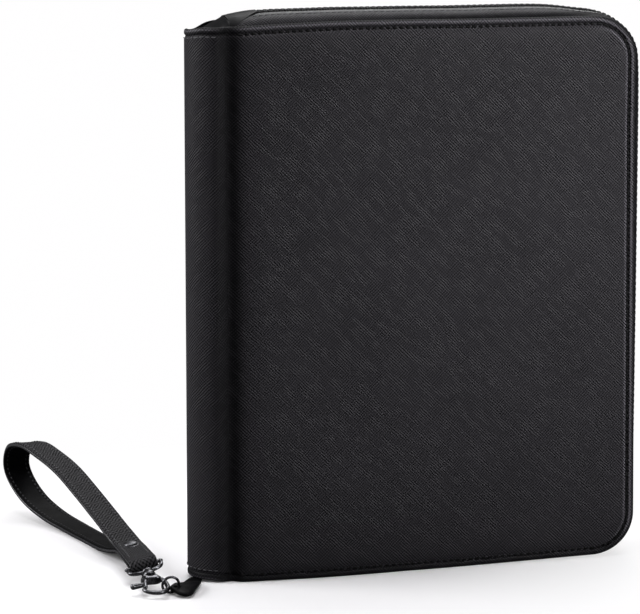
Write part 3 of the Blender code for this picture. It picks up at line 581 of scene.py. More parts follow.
@dataclass(frozen=True)
class Leatherette:
    """Black leatherette with a pressed print of crossing strokes."""

    name: str
    dark: tuple = (0.0040, 0.0039, 0.0047)
    light: tuple = (0.0560, 0.0530, 0.0600)
    lean: float = 0.68
    stroke: float = 0.0120
    pitch: float = 0.00128
    roughness: float = 0.45
    depth: float = 0.00020
    gloss: float = 0.10
    contrast: float = 2.0
    cloud: float = 26.0
    cloud_tone: tuple = (0.51, 0.57)
    most_tone: float = 0.80
    polish: float = 0.30
    middle_share: float = 0.38
    edge_gain: float = 2.3
    # Whether the piece carries painted light and shade in its shade attribute.
    shaded: bool = False

    def material(self) -> Material:
        """Make the material: two sets of broken hatch at 45 degrees; lean is the share of the falling one.

        Where the piece has painted light and shade of its own, its painted shade darkens the print and its
        painted highlights make it paler and glossier.
        """
        shader = Shader(self.name)
        place = shader.coordinates(True)
        falling = shader.hatch(place, -math.pi / 4.0, self.pitch, self.stroke)
        rising = shader.hatch(place, math.pi / 4.0, self.pitch, self.stroke)
        falling = shader.math("MULTIPLY", falling, self.lean * self.contrast)
        rising = shader.math("MULTIPLY", rising, (1.0 - self.lean) * self.contrast)
        print_height = shader.math("ADD", falling, rising)
        cloudy = shader.noise(place, self.cloud)
        tint = shader.math("ADD", print_height, shader.spread(cloudy, 0.3, 0.7, *self.cloud_tone))
        tint = shader.math("MINIMUM", tint, self.most_tone)
        rough = shader.spread(print_height, -0.4, 0.4, self.roughness + 0.07, self.roughness - 0.05)
        if self.shaded:
            shade = shader.add("ShaderNodeAttribute", attribute_name="shade").outputs["Fac"]
            tint = shader.math("ADD", tint, shade)
            rough = shader.math("SUBTRACT", rough, shader.math("MULTIPLY", shade, self.polish))
        share = self.middle_share
        middle = tuple((1.0 - share) * a + share * b for a, b in zip(self.dark, self.light))
        # The palest stop shows only where painted highlights add to the print, which is held below it.
        edge = tuple(self.edge_gain * a for a in self.light)
        stops = [(0.14, self.dark), (0.50, middle), (0.84, self.light), (1.0, edge)]
        return shader.finish(tint, stops, rough, print_height, self.depth, 0.6, specular_IOR_level=self.gloss)


@dataclass(frozen=True)
class PlainLeather:
    """Smooth black leatherette with a fine pebble, for tabs, edges and the strap."""

    name: str
    dark: tuple = (0.0022, 0.0022, 0.0027)
    light: tuple = (0.0085, 0.0083, 0.0094)
    roughness: float = 0.42
    pebble: float = 1500.0
    cloud: float = 120.0
    depth: float = 0.00012
    gloss: float = 0.05

    def material(self) -> Material:
        """Make the material: pebbles and faint creases."""
        shader = Shader(self.name)
        place = shader.coordinates(False)
        pebbles = shader.noise(place, self.pebble)
        cloudy = shader.noise(place, self.cloud)
        tint = shader.math("ADD", shader.math("MULTIPLY", pebbles, 0.6), shader.math("MULTIPLY", cloudy, 0.4))
        rough = shader.spread(tint, 0.35, 0.65, self.roughness + 0.08, self.roughness - 0.06)
        stops = [(0.35, self.dark), (0.68, self.light)]
        return shader.finish(tint, stops, rough, tint, self.depth, 0.5, specular_IOR_level=self.gloss)


@dataclass(frozen=True)
class WovenCloth:
    """Cloth with a plain weave at a thread pitch."""

    name: str
    dark: tuple
    light: tuple
    pitch: float = 0.0008
    roughness: float = 0.78
    cloud: float = 260.0
    depth: float = 0.00015
    sheen: float = 0.15

    def material(self) -> Material:
        """Make the material: warp and weft ribs that cross, with uneven threads."""
        shader = Shader(self.name)
        place = shader.coordinates(True)
        warp = shader.ribs(place, self.pitch, 0.0)
        weft = shader.ribs(place, self.pitch, math.pi / 2.0)
        weave = shader.math("MULTIPLY", shader.math("ADD", warp, weft), 0.5)
        cloudy = shader.noise(place, self.cloud)
        tint = shader.math("ADD", shader.math("MULTIPLY", weave, 0.7), shader.math("MULTIPLY", cloudy, 0.4))
        rough = shader.spread(tint, 0.2, 0.9, self.roughness + 0.08, self.roughness - 0.08)
        stops = [(0.25, self.dark), (0.85, self.light)]
        return shader.finish(tint, stops, rough, weave, self.depth, 0.6, sheen_weight=self.sheen)


@dataclass(frozen=True)
class Gunmetal:
    """Polished dark metal with fine rubbing marks."""

    name: str
    dark: tuple = (0.055, 0.055, 0.060)
    light: tuple = (0.150, 0.150, 0.161)
    roughness: float = 0.23
    cloud: float = 420.0
    mark: tuple = (0.004, 0.00015)
    mark_turn: float = 0.6
    depth: float = 0.00001

    def material(self) -> Material:
        """Make the material: cloudy tone and marks drawn out along one direction."""
        shader = Shader(self.name)
        place = shader.coordinates(False)
        marks = shader.streaks(place, self.mark_turn, *self.mark)
        cloudy = shader.noise(place, self.cloud)
        rough = shader.spread(marks, 0.3, 0.7, self.roughness - 0.05, self.roughness + 0.09)
        stops = [(0.3, self.dark), (0.7, self.light)]
        return shader.finish(cloudy, stops, rough, marks, self.depth, 0.3, metallic=1.0)


@dataclass(frozen=True)
class Moulded:
    """Plain moulded or pressed stuff: teeth, thread, board."""

    name: str
    dark: tuple
    light: tuple
    roughness: float = 0.5
    scale: float = 900.0
    depth: float = 0.00005
    gloss: float = 0.18

    def material(self) -> Material:
        """Make the material: small speckles in tone, gloss and height."""
        shader = Shader(self.name)
        place = shader.coordinates(False)
        speckle = shader.noise(place, self.scale)
        rough = shader.spread(speckle, 0.3, 0.7, self.roughness - 0.08, self.roughness + 0.1)
        stops = [(0.3, self.dark), (0.7, self.light)]
        return shader.finish(speckle, stops, rough, speckle, self.depth, 0.4, specular_IOR_level=self.gloss)


def made(make: Callable[[], Material]) -> Material:
    """Field whose material is made together with the object that holds it."""
    return field(default_factory=make)


@dataclass(frozen=True)
class Finishes:
    """Every material of the object, made once."""

    skin: Material = made(Leatherette("leatherette_print", shaded=True).material)
    gusset: Material = made(Leatherette(
        "gusset_print_and_painted_shade", (0.0034, 0.0034, 0.0040), (0.0430, 0.0416, 0.0456), lean=0.28, stroke=0.004,
        pitch=0.0012, gloss=0.05, shaded=True,
    ).material)
    smooth: Material = made(PlainLeather("plain_leather").material)
    tape: Material = made(WovenCloth(
        "zip_tape_weave", (0.008, 0.008, 0.009), (0.030, 0.030, 0.033), pitch=0.0007,
    ).material)
    strap: Material = made(Leatherette(
        "strap_leather", (0.0008, 0.0008, 0.0010), (0.0420, 0.0408, 0.0446), lean=0.5, stroke=0.0028,
        pitch=0.0016, roughness=0.52, gloss=0.05, contrast=2.6,
    ).material)
    strap_back: Material = made(PlainLeather(
        "strap_inside", (0.0012, 0.0012, 0.0015), (0.0055, 0.0054, 0.0062), roughness=0.52, gloss=0.04,
    ).material)
    strap_edge: Material = made(PlainLeather(
        "strap_edge_coat", (0.012, 0.012, 0.014), (0.040, 0.039, 0.043), roughness=0.26, gloss=0.6,
    ).material)
    lining: Material = made(WovenCloth("grey_lining", (0.075, 0.077, 0.083), (0.170, 0.173, 0.184)).material)
    pocket: Material = made(WovenCloth(
        "pocket_cloth", (0.026, 0.026, 0.029), (0.080, 0.080, 0.087), pitch=0.0006,
    ).material)
    elastic: Material = made(WovenCloth(
        "elastic_band", (0.010, 0.010, 0.011), (0.040, 0.040, 0.044), pitch=0.0010,
    ).material)
    thread: Material = made(Moulded(
        "sewing_thread", (0.007, 0.007, 0.008), (0.030, 0.030, 0.034), roughness=0.55, scale=3000.0,
    ).material)
    lip_thread: Material = made(Moulded(
        "lip_thread", (0.0012, 0.0012, 0.0015), (0.005, 0.005, 0.006), roughness=0.6, scale=3000.0,
    ).material)
    pale_thread: Material = made(Moulded(
        "pale_thread", (0.050, 0.050, 0.055), (0.150, 0.148, 0.158), scale=3000.0,
    ).material)
    strap_thread: Material = made(Moulded(
        "strap_thread", (0.024, 0.024, 0.026), (0.080, 0.079, 0.085), scale=3000.0,
    ).material)
    teeth: Material = made(Moulded(
        "zip_teeth", (0.003, 0.003, 0.004), (0.009, 0.009, 0.010), roughness=0.45,
    ).material)
    board: Material = made(Moulded(
        "pressed_board", (0.060, 0.060, 0.062), (0.120, 0.119, 0.122), roughness=0.8, scale=500.0,
    ).material)
    metal: Material = made(Gunmetal("gunmetal_polish").material)
    satin: Material = made(Gunmetal("gunmetal_satin", roughness=0.36).material)


@dataclass
class PanelGrid:
    """A flat panel with round corners, as a grid whose lines run round the corners.

    Near a round corner, a point with insets u and w from the two edges sits on the arc whose inset is
    the smaller of the two. Its angle runs from the arc's middle, where u equals w, to its ends.
    """

    left: float
    low: float
    right: float
    top: float
    left_corner: float
    right_corner: float

    def points(self, across: Array, upward: Array) -> tuple[Array, Array, Array]:
        """Place a grid of square coordinates on the panel.

        Args:
            across: column places from left to right.
            upward: row places from low to top.

        Returns:
            X, Z and the inset from the nearest edge other than the left one, each as (rows, columns).
        """
        x, z = np.meshgrid(across, upward)
        u_right = self.right - x
        u_left = x - self.left
        w = np.minimum(z - self.low, self.top - z)
        upper = z > (self.low + self.top) / 2.0
        inset = np.minimum(u_right, w)
        for u, sign, radius in ((u_right, 1.0, self.right_corner), (u_left, -1.0, self.left_corner)):
            if radius <= 0.0:
                continue
            inside = (u < radius) & (w < radius)
            d = np.minimum(u, w)
            spare = np.maximum(radius - d, 0.000001)
            lean = np.where(w <= u, 45.0 + 45.0 * (u - d) / spare, 45.0 - 45.0 * (w - d) / spare)
            angle = np.radians(lean)
            middle_x = (self.right if sign > 0.0 else self.left) - sign * radius
            middle_z = np.where(upper, self.top - radius, self.low + radius)
            x = np.where(inside, middle_x + sign * spare * np.cos(angle), x)
            z = np.where(inside, middle_z + np.where(upper, 1.0, -1.0) * spare * np.sin(angle), z)
        return x, z, inset


def spread_places(low: float, high: float, edges: Array, step: float, both: bool = True) -> Array:
    """Grid places between two ends: given insets near the ends and an even step between them."""
    start = low + edges[-1] if both else low
    stop = high - edges[-1]
    count = max(int((stop - start) / step), 2)
    inner = np.linspace(start, stop, count + 1)
    parts = [inner[:-1], (high - edges)[::-1]]
    if both:
        parts.insert(0, (low + edges)[:-1])
    return np.concatenate(parts)


@dataclass(frozen=True)
class LeatherTone:
    """Painted highlights and painted shade added to the print; places are insets from the edge."""

    # Painted highlight along the middle of the rolled lip, further in along the opening edge.
    lip: float = 0.50
    lip_turned: float = 0.30
    lip_place: float = 0.0013
    line_half: float = 0.0006
    # Painted highlight at the panel's edge along the opening edge, and one above the channel along the foot.
    turned_line: float = 0.40
    turned_place: float = 0.0060
    foot_line: float = 0.26
    foot_place: float = 0.0051
    # Painted shade at the lip's outer edge, wider along the opening edge and the foot.
    edge: float = 0.40
    edge_reach: tuple = (0.0004, 0.0010, 0.0030)
    # Painted shade in the channel along the opening edge; elsewhere the channel is painted a little lighter.
    channel: float = 0.60
    channel_ease: float = 0.10
    channel_half: float = 0.0009
    # Painted shade in the soft groove.
    groove: float = 0.44
    groove_stretch: float = 0.62
    # Where the opening edge's painted light takes over, and how the painted light fades in from the groove.
    turn_from: float = 0.030
    turn_run: float = 0.022
    fade_in: float = 0.008
    # A band below the spine's upper edge is painted darker.
    head: float = 0.30
    head_place: float = 0.0027
    head_half: float = 0.0014
    # Painted shadow on the lower part of the cover, towards the spine.
    corner: float = 0.10
    corner_reach: tuple = (0.09, 0.12, 0.075)
    # Height over which the foot's painted light and shade apply.
    foot_height: float = 0.022


PAINTED_LIGHT = LeatherTone()


@dataclass
class CoverSkin:
    """Padded skin of one cover, its soft groove and the half of the spine beside it, in one piece."""

    side: Side
    edge_round: float = 0.0007
    lip_middle: float = 0.0019
    lip_fall: float = 0.0008
    lip_inside: float = 0.6
    channel_inset: float = 0.0043
    channel_depth: float = 0.0009
    channel_half: float = 0.00080
    pad_rise: float = 0.0022
    pad_start: float = 0.020
    pad_inset: tuple = (0.0047, 0.0053, 0.0059, 0.0067, 0.0081, 0.0105, 0.0145, 0.0200, 0.0260)
    pad_share: tuple = (0.0, 0.16, 0.33, 0.48, 0.62, 0.76, 0.88, 0.96, 1.0)
    crown: float = 0.0006
    crown_from: float = 0.022
    crown_run: float = 0.045
    ripple: float = 0.00008
    ripple_waves: tuple = ((71.0, 23.0), (-19.0, 57.0))
    groove_dip: float = 0.0028
    groove_reach: float = 0.0047
    groove_skin: float = 0.0013
    groove_past: float = 0.0009
    step_run: float = 0.006
    spine_skin: float = 0.0014
    spine_share: float = 0.7
    spine_thin: float = 1.3
    spine_sag: float = 0.0018
    inner_y: float = 0.0168
    grid_step: float = 0.009
    map_gap: float = 0.337
    blend_reach: float = 0.0040
    stitch_size: tuple = (0.0025, 0.00160, 0.00075)
    stitch_pitch: float = 0.00375
    stitch_slant: float = 0.06
    stitch_rise: float = 0.00022
    seam_from: float = 0.0250
    seam_step: float = 0.0012
    head_turn: float = math.radians(55.0)
    sag_turn: float = math.radians(40.0)
    sag_wait: float = 1.25
    foot_turn: float = math.radians(35.0)
    near_groove: tuple = (
        0.0, 0.0006, 0.0013, 0.0021, 0.0030, 0.0041, 0.0054, 0.0070, 0.0090, 0.0115, 0.0145, 0.0180, 0.0225,
    )
    insets: tuple = (
        0.0, 0.00010, 0.0003, 0.0007, 0.0012, 0.0019, 0.0026, 0.0031, 0.0034, 0.0037, 0.0040, 0.0043, 0.0046,
        0.0049, 0.0052, 0.0056, 0.0062, 0.0074, 0.0092, 0.0114, 0.0145, 0.0180, 0.0214, 0.0240,
    )

    def edge_drop(self, inset: Array) -> Array:
        """How far the skin's rounded edge falls back."""
        return round_off(inset, self.edge_round)

    def lip_roll(self, inset: Array) -> Array:
        """Fall of the rolled lip on both sides of its middle: the distance to the power 2.4."""
        share = np.clip(np.abs(inset - self.lip_middle) / self.lip_middle, 0.0, 1.0)
        return np.where(inset < 2.0 * self.lip_middle, self.lip_fall * share ** 2.4, 0.0)

    def channel(self, inset: Array) -> Array:
        """Sunk stitch channel: a bell curve of the distance from its middle."""
        return self.channel_depth * bell(inset - self.channel_inset, self.channel_half, 4)

    def padding(self, inset: Array) -> Array:
        """Rise of the padded panel inside the channel, steep at first and then a slow crown."""
        rise = self.pad_rise * np.interp(inset, self.pad_inset, self.pad_share)
        return rise + self.crown * (1.0 - np.exp(-np.maximum(inset - self.crown_from, 0.0) / self.crown_run))

    def valley(self, away: Array) -> Array:
        """Share of the soft groove's depth at a distance from its middle: a bell with a broad floor."""
        return bell(np.abs(away), self.groove_reach, 2.4)

    def shade(self, inset: Array, away: Array, low: Array) -> Array:
        """Painted light and shade of the leather: a painted highlight on the rolled lip, painted shade at its
        edge, in the channel and in the groove.

        Along the opening edge the painted highlight lies further in, with a second one at the panel's edge
        and painted shade in the channel; along the foot the lip's painted highlight gives way to painted
        shade over a wider edge, with a painted highlight above the channel. At the top and the foot the
        channel is painted a little lighter.

        Args:
            inset: distance from the nearest edge.
            away: distance from the middle of the groove.
            low: share of the foot's painted light and shade, 1 near the floor.

        Returns:
            Painted light and shade to add to the print.
        """
        turned = smooth((away - (CASE.width - CASE.groove_x - PAINTED_LIGHT.turn_from)) / PAINTED_LIGHT.turn_run)
        pale = PAINTED_LIGHT.lip + PAINTED_LIGHT.lip_turned * turned
        pale = pale * bell(inset - PAINTED_LIGHT.lip_place - PAINTED_LIGHT.lip_place * turned, PAINTED_LIGHT.line_half) * (1.0 - low)
        line = PAINTED_LIGHT.turned_line * turned * bell(inset - PAINTED_LIGHT.turned_place, PAINTED_LIGHT.line_half) * (1.0 - low)
        pale = pale + line + PAINTED_LIGHT.foot_line * low * bell(inset - PAINTED_LIGHT.foot_place, PAINTED_LIGHT.line_half)
        narrow, at_turn, at_foot = PAINTED_LIGHT.edge_reach
        dark = PAINTED_LIGHT.edge * bell(inset, narrow + at_turn * turned + at_foot * low, 4)
        sunk = bell(inset - self.channel_inset, PAINTED_LIGHT.channel_half, 4)
        dark = dark + (PAINTED_LIGHT.channel * turned - PAINTED_LIGHT.channel_ease) * sunk
        tone = (pale - dark) * smooth(np.abs(away) / PAINTED_LIGHT.fade_in)
        return tone - PAINTED_LIGHT.groove * self.valley(away * PAINTED_LIGHT.groove_stretch)

    def cover_part(self) -> tuple[Array, Array, Array, Array]:
        """Outside, inside, flat map and painted light and shade of the cover from the groove to the opening
        edge.
        """
        near = CASE.groove_x + np.array(self.near_groove)
        edges = np.array(self.insets)
        far = spread_places(near[-1], CASE.width, edges, self.grid_step, both=False)
        across = np.concatenate([near[:-1], far])
        upward = spread_places(0.0, CASE.height, edges, self.grid_step)
        panel = PanelGrid(CASE.groove_x, 0.0, CASE.width, CASE.height, 0.0, CASE.corner)
        x, z, inset = panel.points(across, upward)
        away = x - CASE.groove_x
        base = CASE.spine_half + (CASE.half_depth - CASE.spine_half) * smooth(away / self.step_run)
        dip = self.groove_dip * self.valley(away)
        first, second = (np.sin(x * a + z * b) for a, b in self.ripple_waves)
        raised = (self.padding(inset) + self.ripple * first * second) * smooth(away / self.pad_start)
        outside = base - dip + raised - self.channel(inset) - self.edge_drop(inset) - self.lip_roll(inset)
        inside = np.minimum(self.inner_y, base - dip - self.groove_skin)
        inside = inside - self.lip_inside * self.lip_roll(inset)
        sign = self.side.value
        outer = stacked(x, sign * outside, z)
        inner = stacked(x, sign * inside, z)
        shade = self.shade(inset, away, 1.0 - smooth(z / PAINTED_LIGHT.foot_height))
        # Painted shadow on the lower part of the cover, towards the spine.
        start, run, rise = PAINTED_LIGHT.corner_reach
        shade = shade - PAINTED_LIGHT.corner * (1.0 - smooth(z / rise)) * (1.0 - smooth((x - start) / run))
        return CASE.lean(outer), CASE.lean(inner), stacked(x, z), shade

    def spine_head(self, angle: Array) -> Array:
        """Height of the spine's upper edge, from the fold at angle 0 to the groove at a right angle.

        The front half comes up soon after the fold; the back half sags first, by a squared sine.
        """
        drop = CASE.height - CASE.spine_top
        if self.side is Side.FRONT:
            return CASE.height - drop * (1.0 - smooth(angle / self.head_turn))
        sag = self.spine_sag * np.sin(2.0 * angle) ** 2
        return CASE.height - drop * (1.0 - smooth(angle / self.sag_turn - self.sag_wait)) - sag

    def spine_part(self, upward: Array) -> tuple[Array, Array, Array, Array]:
        """Outside, inside, flat map and painted light and shade of half the spine, an ellipse in plan, from
        fold to groove.
        """
        angle = quarter(33)[:-1][None, :]
        rise = upward[:, None]
        foot = CASE.spine_low * smooth((np.pi / 2.0 - angle) / self.foot_turn)
        head = self.spine_head(angle)
        z = foot + (head - foot) * rise / CASE.height
        inset = np.minimum(rise, CASE.height - rise)
        x, y, normal = CASE.spine_curve(angle)
        run = run_length(stacked(x[0], y[0]))
        away = np.broadcast_to((run[-1] + self.groove_past - run)[None, :], z.shape)
        dip = self.groove_dip * self.valley(away)
        drop = self.edge_drop(inset)
        share = self.spine_share
        sunk = dip + share * self.channel(inset) + drop + share * self.lip_roll(inset)
        thick = self.spine_skin - drop * self.spine_thin
        sign = self.side.value
        out_plan = stacked(x, y) - normal * sunk[..., None]
        in_plan = out_plan - normal * thick[..., None]
        outer = stacked(out_plan[..., 0], sign * out_plan[..., 1], z)
        inner = stacked(in_plan[..., 0], sign * in_plan[..., 1], z)
        flat = stacked(CASE.groove_x + self.map_gap + away, z)
        shade = self.shade(inset, away, np.zeros_like(z))
        # The band below the spine's upper edge is painted darker.
        shade = shade - PAINTED_LIGHT.head * bell(inset - PAINTED_LIGHT.head_place, PAINTED_LIGHT.head_half, 4)
        return CASE.lean(outer), CASE.lean(inner), flat, shade

    def build(self, finishes: Finishes) -> None:
        """Make the skin, which rides on no body, and its row of stitches."""
        edges = np.array(self.insets)
        upward = spread_places(0.0, CASE.height, edges, self.grid_step)
        parts = zip(self.spine_part(upward), self.cover_part())
        outer, inner, flat, shade = (np.concatenate(pair, axis=1) for pair in parts)
        word = self.side.word
        shell = slab(outer, inner, flat, shade)
        skin = make_piece(word + "_padded_skin", shell, finishes.skin)
        self.side.body
        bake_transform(skin)
        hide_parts(word + "_skin", word + "_foam", "spine_skin")
        self.stitch(finishes)

    def stitch(self, finishes: Finishes) -> None:
        """Sew the lip: short stitches down in the channel along the three open edges."""
        x, z, out_x, out_z, _ = RimPath(self.seam_from).stations(self.seam_step)
        y = self.side.value * (CASE.half_depth - self.channel_depth + self.stitch_rise)
        inset = self.channel_inset
        path = CASE.lean(stacked(x - out_x * inset, y, z - out_z * inset))
        normal = np.array((0.0, self.side.value, 0.0))
        slant = self.stitch_slant * self.side.value
        row = stitch_row(path, normal, self.stitch_pitch, pill(*self.stitch_size, rows=5), slant)
        make_piece(self.side.word + "_lip_stitches", row, finishes.lip_thread, self.side.body)


@dataclass
class RimPath:
    """The way round a cover's three open edges, from the spine along the floor to the spine again."""

    start_x: float
    side_z: tuple = (0.0, 0.055, 0.155, 0.25, 0.31)
    side_swell: tuple = (0.73, 0.77, 0.85, 0.91, 0.88)
    top_x: tuple = (0.022, 0.028, 0.034, 0.040, 0.050, 0.065, 0.083, 0.110, 0.150, 0.205, 0.23)
    top_swell: tuple = (0.80, 0.855, 0.905, 0.93, 0.94, 0.92, 0.90, 0.89, 0.895, 0.905, 0.91)
    corner_dip: float = 0.27
    dip_reach: float = 0.022
    dip_turn: float = math.radians(73.0)
    grow_turn: float = 110.0
    grow_climb: float = 0.050

    def crest(self, x: Array) -> Array:
        """How far the zip swells out along the upper edge, by the distance from the spine."""
        return np.interp(x, self.top_x, self.top_swell)

    def stations(self, step: float) -> tuple[Array, Array, Array, Array, Array]:
        """Points at an even step along the way.

        Args:
            step: distance between points.

        Returns:
            X, Z, the outward direction's X and Z, and how far the zip tape swells out there.
        """
        radius = CASE.corner
        right = CASE.width - radius
        top = CASE.height - radius
        bends = np.cumsum([right - self.start_x, radius * math.pi / 2.0, top - radius,
                           radius * math.pi / 2.0, right - self.start_x])
        run = np.linspace(0.0, bends[-1], int(bends[-1] / step) + 1)
        low_turn = np.clip((run - bends[0]) / radius, 0.0, math.pi / 2.0)
        high_turn = np.clip((run - bends[2]) / radius, 0.0, math.pi / 2.0)
        angle = -math.pi / 2.0 + low_turn + high_turn
        out_x = np.cos(angle)
        out_z = np.sin(angle)
        low_run = np.minimum(run, bends[0])
        back_run = np.maximum(run - bends[3], 0.0)
        climb = np.clip(run - bends[1], 0.0, top - radius)
        x = self.start_x + low_run + radius * out_x - back_run
        z = radius + radius * out_z + climb
        grown = smooth(low_turn / math.radians(self.grow_turn))
        grown = grown + (1.0 - smooth(90.0 / self.grow_turn)) * smooth(climb / self.grow_climb)
        swell = grown * np.interp(z, self.side_z, self.side_swell)
        swell = swell + (self.crest(x) - swell) * smooth(high_turn / (math.pi / 2.0))
        away = run - bends[2] - radius * self.dip_turn
        swell = swell - self.corner_dip * bell(away, self.dip_reach)
        return x, z, out_x, out_z, swell


@dataclass
class ZipTape:
    """Gusset strip and zip tape of one cover, with its moulded teeth."""

    side: Side
    seat: float = 0.01585
    recess: float = 0.0085
    crest: float = 0.0054
    edge_y: float = 0.0029
    thickness: float = 0.0009
    groove_room: float = 0.0034
    columns: int = 26
    strip_columns: int = 19
    tape_columns: int = 17
    rim_from: float = 0.0220
    rim_step: float = 0.0020
    strip_proud: float = 0.0002
    strip_back: float = 0.0001
    tape_sunk: float = 0.0003
    # Painted shadow along the gusset's seat beside the lip, and a lighter tone towards the crest.
    fold_deep: tuple = (0.08, 0.40)
    fold_reach: tuple = (0.06, 0.12)
    fold_level: float = 0.0002
    fold_half: float = 0.0010
    crest_tone: float = 0.06
    crest_level: tuple = (0.0010, 0.0014)
    wrap_from: float = 0.0222
    wrap_length: float = 0.0165
    wrap_start: float = 0.0012
    wrap_slant: tuple = (0.30, 0.62)
    wrap_bend: float = 0.9
    wrap_rows: int = 17
    wrap_share: tuple = (0.0, 0.5, 0.8, 1.0)
    wrap_proud: tuple = (0.00065, 0.00080, 0.00125, 0.00135)
    wrap_lining: float = 0.0002
    wrap_middle: tuple = (0.0015, 0.0001)
    teeth_from: float = 0.0265
    teeth_step: float = 0.0010
    teeth_overlap: float = 0.0030
    tooth_pitch: float = 0.00306
    tooth_y: float = 0.0011
    tooth: tuple = (0.0036, 0.00165, 0.0022)
    seam: tuple = (0.0026, 0.0007, 0.0005)
    seam_pitch: float = 0.0034
    seam_slant: float = 0.35

    def section(self, swell: Array) -> Array:
        """Middle line of the strip from its sewn edge to the teeth: depth from y = 0 and offset.

        Args:
            swell: how far the strip swells out, from 0, sunk between the lips, to about 1.

        Returns:
            The line at each station, a mix of the sunk and the proud line, shape (n, m, 2).
        """
        seat = self.seat
        sunk = (
            (seat, -0.0036), (seat, -0.0064), (seat - 0.0009, -0.0080),
            (seat - 0.0029, -self.recess), (0.0080, -self.recess), (self.edge_y, -self.recess),
        )
        proud = (
            (seat, -0.0060), (seat, -0.0020), (seat - 0.0007, 0.0008),
            (seat - 0.0033, 0.0033), (0.0080, self.crest - 0.0006), (self.edge_y, self.crest),
        )
        low, high = (spline(knots, False, self.columns) for knots in (sunk, proud))
        return low + (high - low) * np.reshape(swell, (-1, 1, 1))

    def pinch(self, x: Array) -> Array:
        """Share of the strip's depth that is left beside the soft groove."""
        return 1.0 - self.groove_room / self.seat * CoverSkin(self.side).valley(x - CASE.groove_x)

    def band(self, first: int, last: int, outside: float, inside: float) -> tuple[Surface, Array, Array]:
        """Closed band between two columns of the section, carried round the rim.

        Args:
            first: first column of the section.
            last: column after the last one.
            outside: offset of the outer face from the middle line.
            inside: offset of the inner face from the middle line.

        Returns:
            The band, its outer face as a grid of points, and the outward direction there.
        """
        sign = self.side.value
        x, z, out_x, out_z, swell = RimPath(self.rim_from).stations(self.rim_step)
        line = self.section(swell)
        ahead = np.gradient(line, axis=1)
        normal = unit(stacked(-ahead[..., 1], ahead[..., 0]))
        faces = []
        for offset in (outside, inside):
            shifted = (line - normal * offset)[:, first:last]
            off = shifted[..., 1]
            y = sign * shifted[..., 0] * self.pinch(x)[:, None]
            face = stacked(x[:, None] + out_x[:, None] * off, y, z[:, None] + out_z[:, None] * off)
            faces.append(CASE.lean(face))
        away = -normal[:, first:last]
        outward = stacked(out_x[:, None] * away[..., 1], sign * away[..., 0], out_z[:, None] * away[..., 1])
        run = run_length(stacked(x, z))
        across = run_length(line[len(line) // 2])[first:last]
        flat = stacked(run[:, None], across[None, :])
        height = line[:, first:last, 1]
        # Painted shadow along the seat beside the lip, deeper away from the spine; the strip is painted a
        # little lighter towards the crest.
        least, more = self.fold_deep
        start, reach = self.fold_reach
        deep = (least + more * smooth((x - start) / reach))[:, None]
        deep = deep * bell(height - self.fold_level, self.fold_half)
        start, reach = self.crest_level
        shade = self.crest_tone * smooth((height - start) / reach) - deep
        return slab(faces[0], faces[1], flat, shade), faces[0], outward

    def wrap(self, finishes: Finishes) -> None:
        """Fold smooth leather over the zip's upper end; its free edge slants from the lip to the crest.

        Each column of the section runs evenly in X from the start to that edge, and the leather stands
        further off the strip towards the crest, where it covers the end stop.
        """
        low, high = self.section(np.array((0.0, 1.0)))
        share = np.linspace(0.0, 1.0, len(low) + len(self.wrap_middle))[None, :]
        start, run = self.wrap_slant
        slant = np.clip((share - start) / run, 0.0, 1.0) ** self.wrap_bend
        reach = self.wrap_start + self.wrap_length * slant
        x = self.wrap_from + reach * np.linspace(0.0, 1.0, self.wrap_rows)[:, None]
        rise = RimPath(self.wrap_from).crest(x)
        low, high = (
            np.concatenate([a, [(y, a[-1, 1]) for y in self.wrap_middle]]) for a in (low, high)
        )
        line = low[None] + (high - low)[None] * rise[..., None]
        ahead = np.gradient(line, axis=1)
        away = unit(stacked(ahead[..., 1], -ahead[..., 0]))
        proud = np.interp(share, self.wrap_share, self.wrap_proud)
        faces = []
        for offset in (proud, np.full_like(proud, self.wrap_lining)):
            place = line + away * offset[..., None]
            y = self.side.value * place[..., 0] * self.pinch(x)
            faces.append(CASE.lean(stacked(x, y, CASE.height + place[..., 1])))
        flat = stacked(x, MAP_WIDTH * share)
        make_piece(
            self.side.word + "_zip_end_wrap", slab(faces[0], faces[1], flat), finishes.smooth,
            self.side.body, CRISP,
        )

    def build(self, finishes: Finishes) -> None:
        """Make the gusset strip, the woven tape, their seam and the teeth, which ride on the cover."""
        word = self.side.word
        half = self.thickness / 2.0
        strip, face, outward = self.band(0, self.strip_columns, half + self.strip_proud, -self.strip_back)
        gusset = make_piece(word + "_zip_gusset", strip, finishes.gusset, self.side.body, CRISP)
        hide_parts("zip_tape_" + word)
        woven = self.band(self.tape_columns, self.columns, half - self.tape_sunk, -half)[0]
        tape = make_piece(word + "_woven_tape", woven, finishes.tape, self.side.body, CRISP)
        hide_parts("zip_tape_" + word)
        stitch = pill(*self.seam)
        seam = stitch_row(face[:, -2], outward[:, -2], self.seam_pitch, stitch, self.seam_slant)
        make_piece(word + "_zip_seam", seam, finishes.thread, self.side.body)
        self.wrap(finishes)
        self.teeth(finishes)

    def teeth(self, finishes: Finishes) -> None:
        """Set moulded teeth at an even pitch along the crest; the two sides take turns."""
        x, z, out_x, out_z, swell = RimPath(self.teeth_from).stations(self.teeth_step)
        off = self.section(swell)[:, -1, 1]
        path = CASE.lean(stacked(x + out_x * off, self.side.value * self.tooth_y, z + out_z * off))
        outward = stacked(out_x, 0.0, out_z)
        run = run_length(path)
        shift = 0.25 if self.side is Side.FRONT else 0.75
        last = run[-1] - self.wrap_length + self.teeth_overlap
        wanted = (np.arange(int(last / self.tooth_pitch)) + shift) * self.tooth_pitch
        place = look_up(wanted, run, path)
        up = unit(look_up(wanted, run, outward))
        across = np.broadcast_to(Y_AXIS, up.shape)
        axes = np.stack([across, np.cross(up, across), up], axis=1)
        teeth = repeat(pill(*self.tooth), place, axes)
        piece = make_piece(self.side.word + "_zip_teeth", teeth, finishes.teeth, self.side.body)
        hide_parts("zip_coil_" + self.side.word)


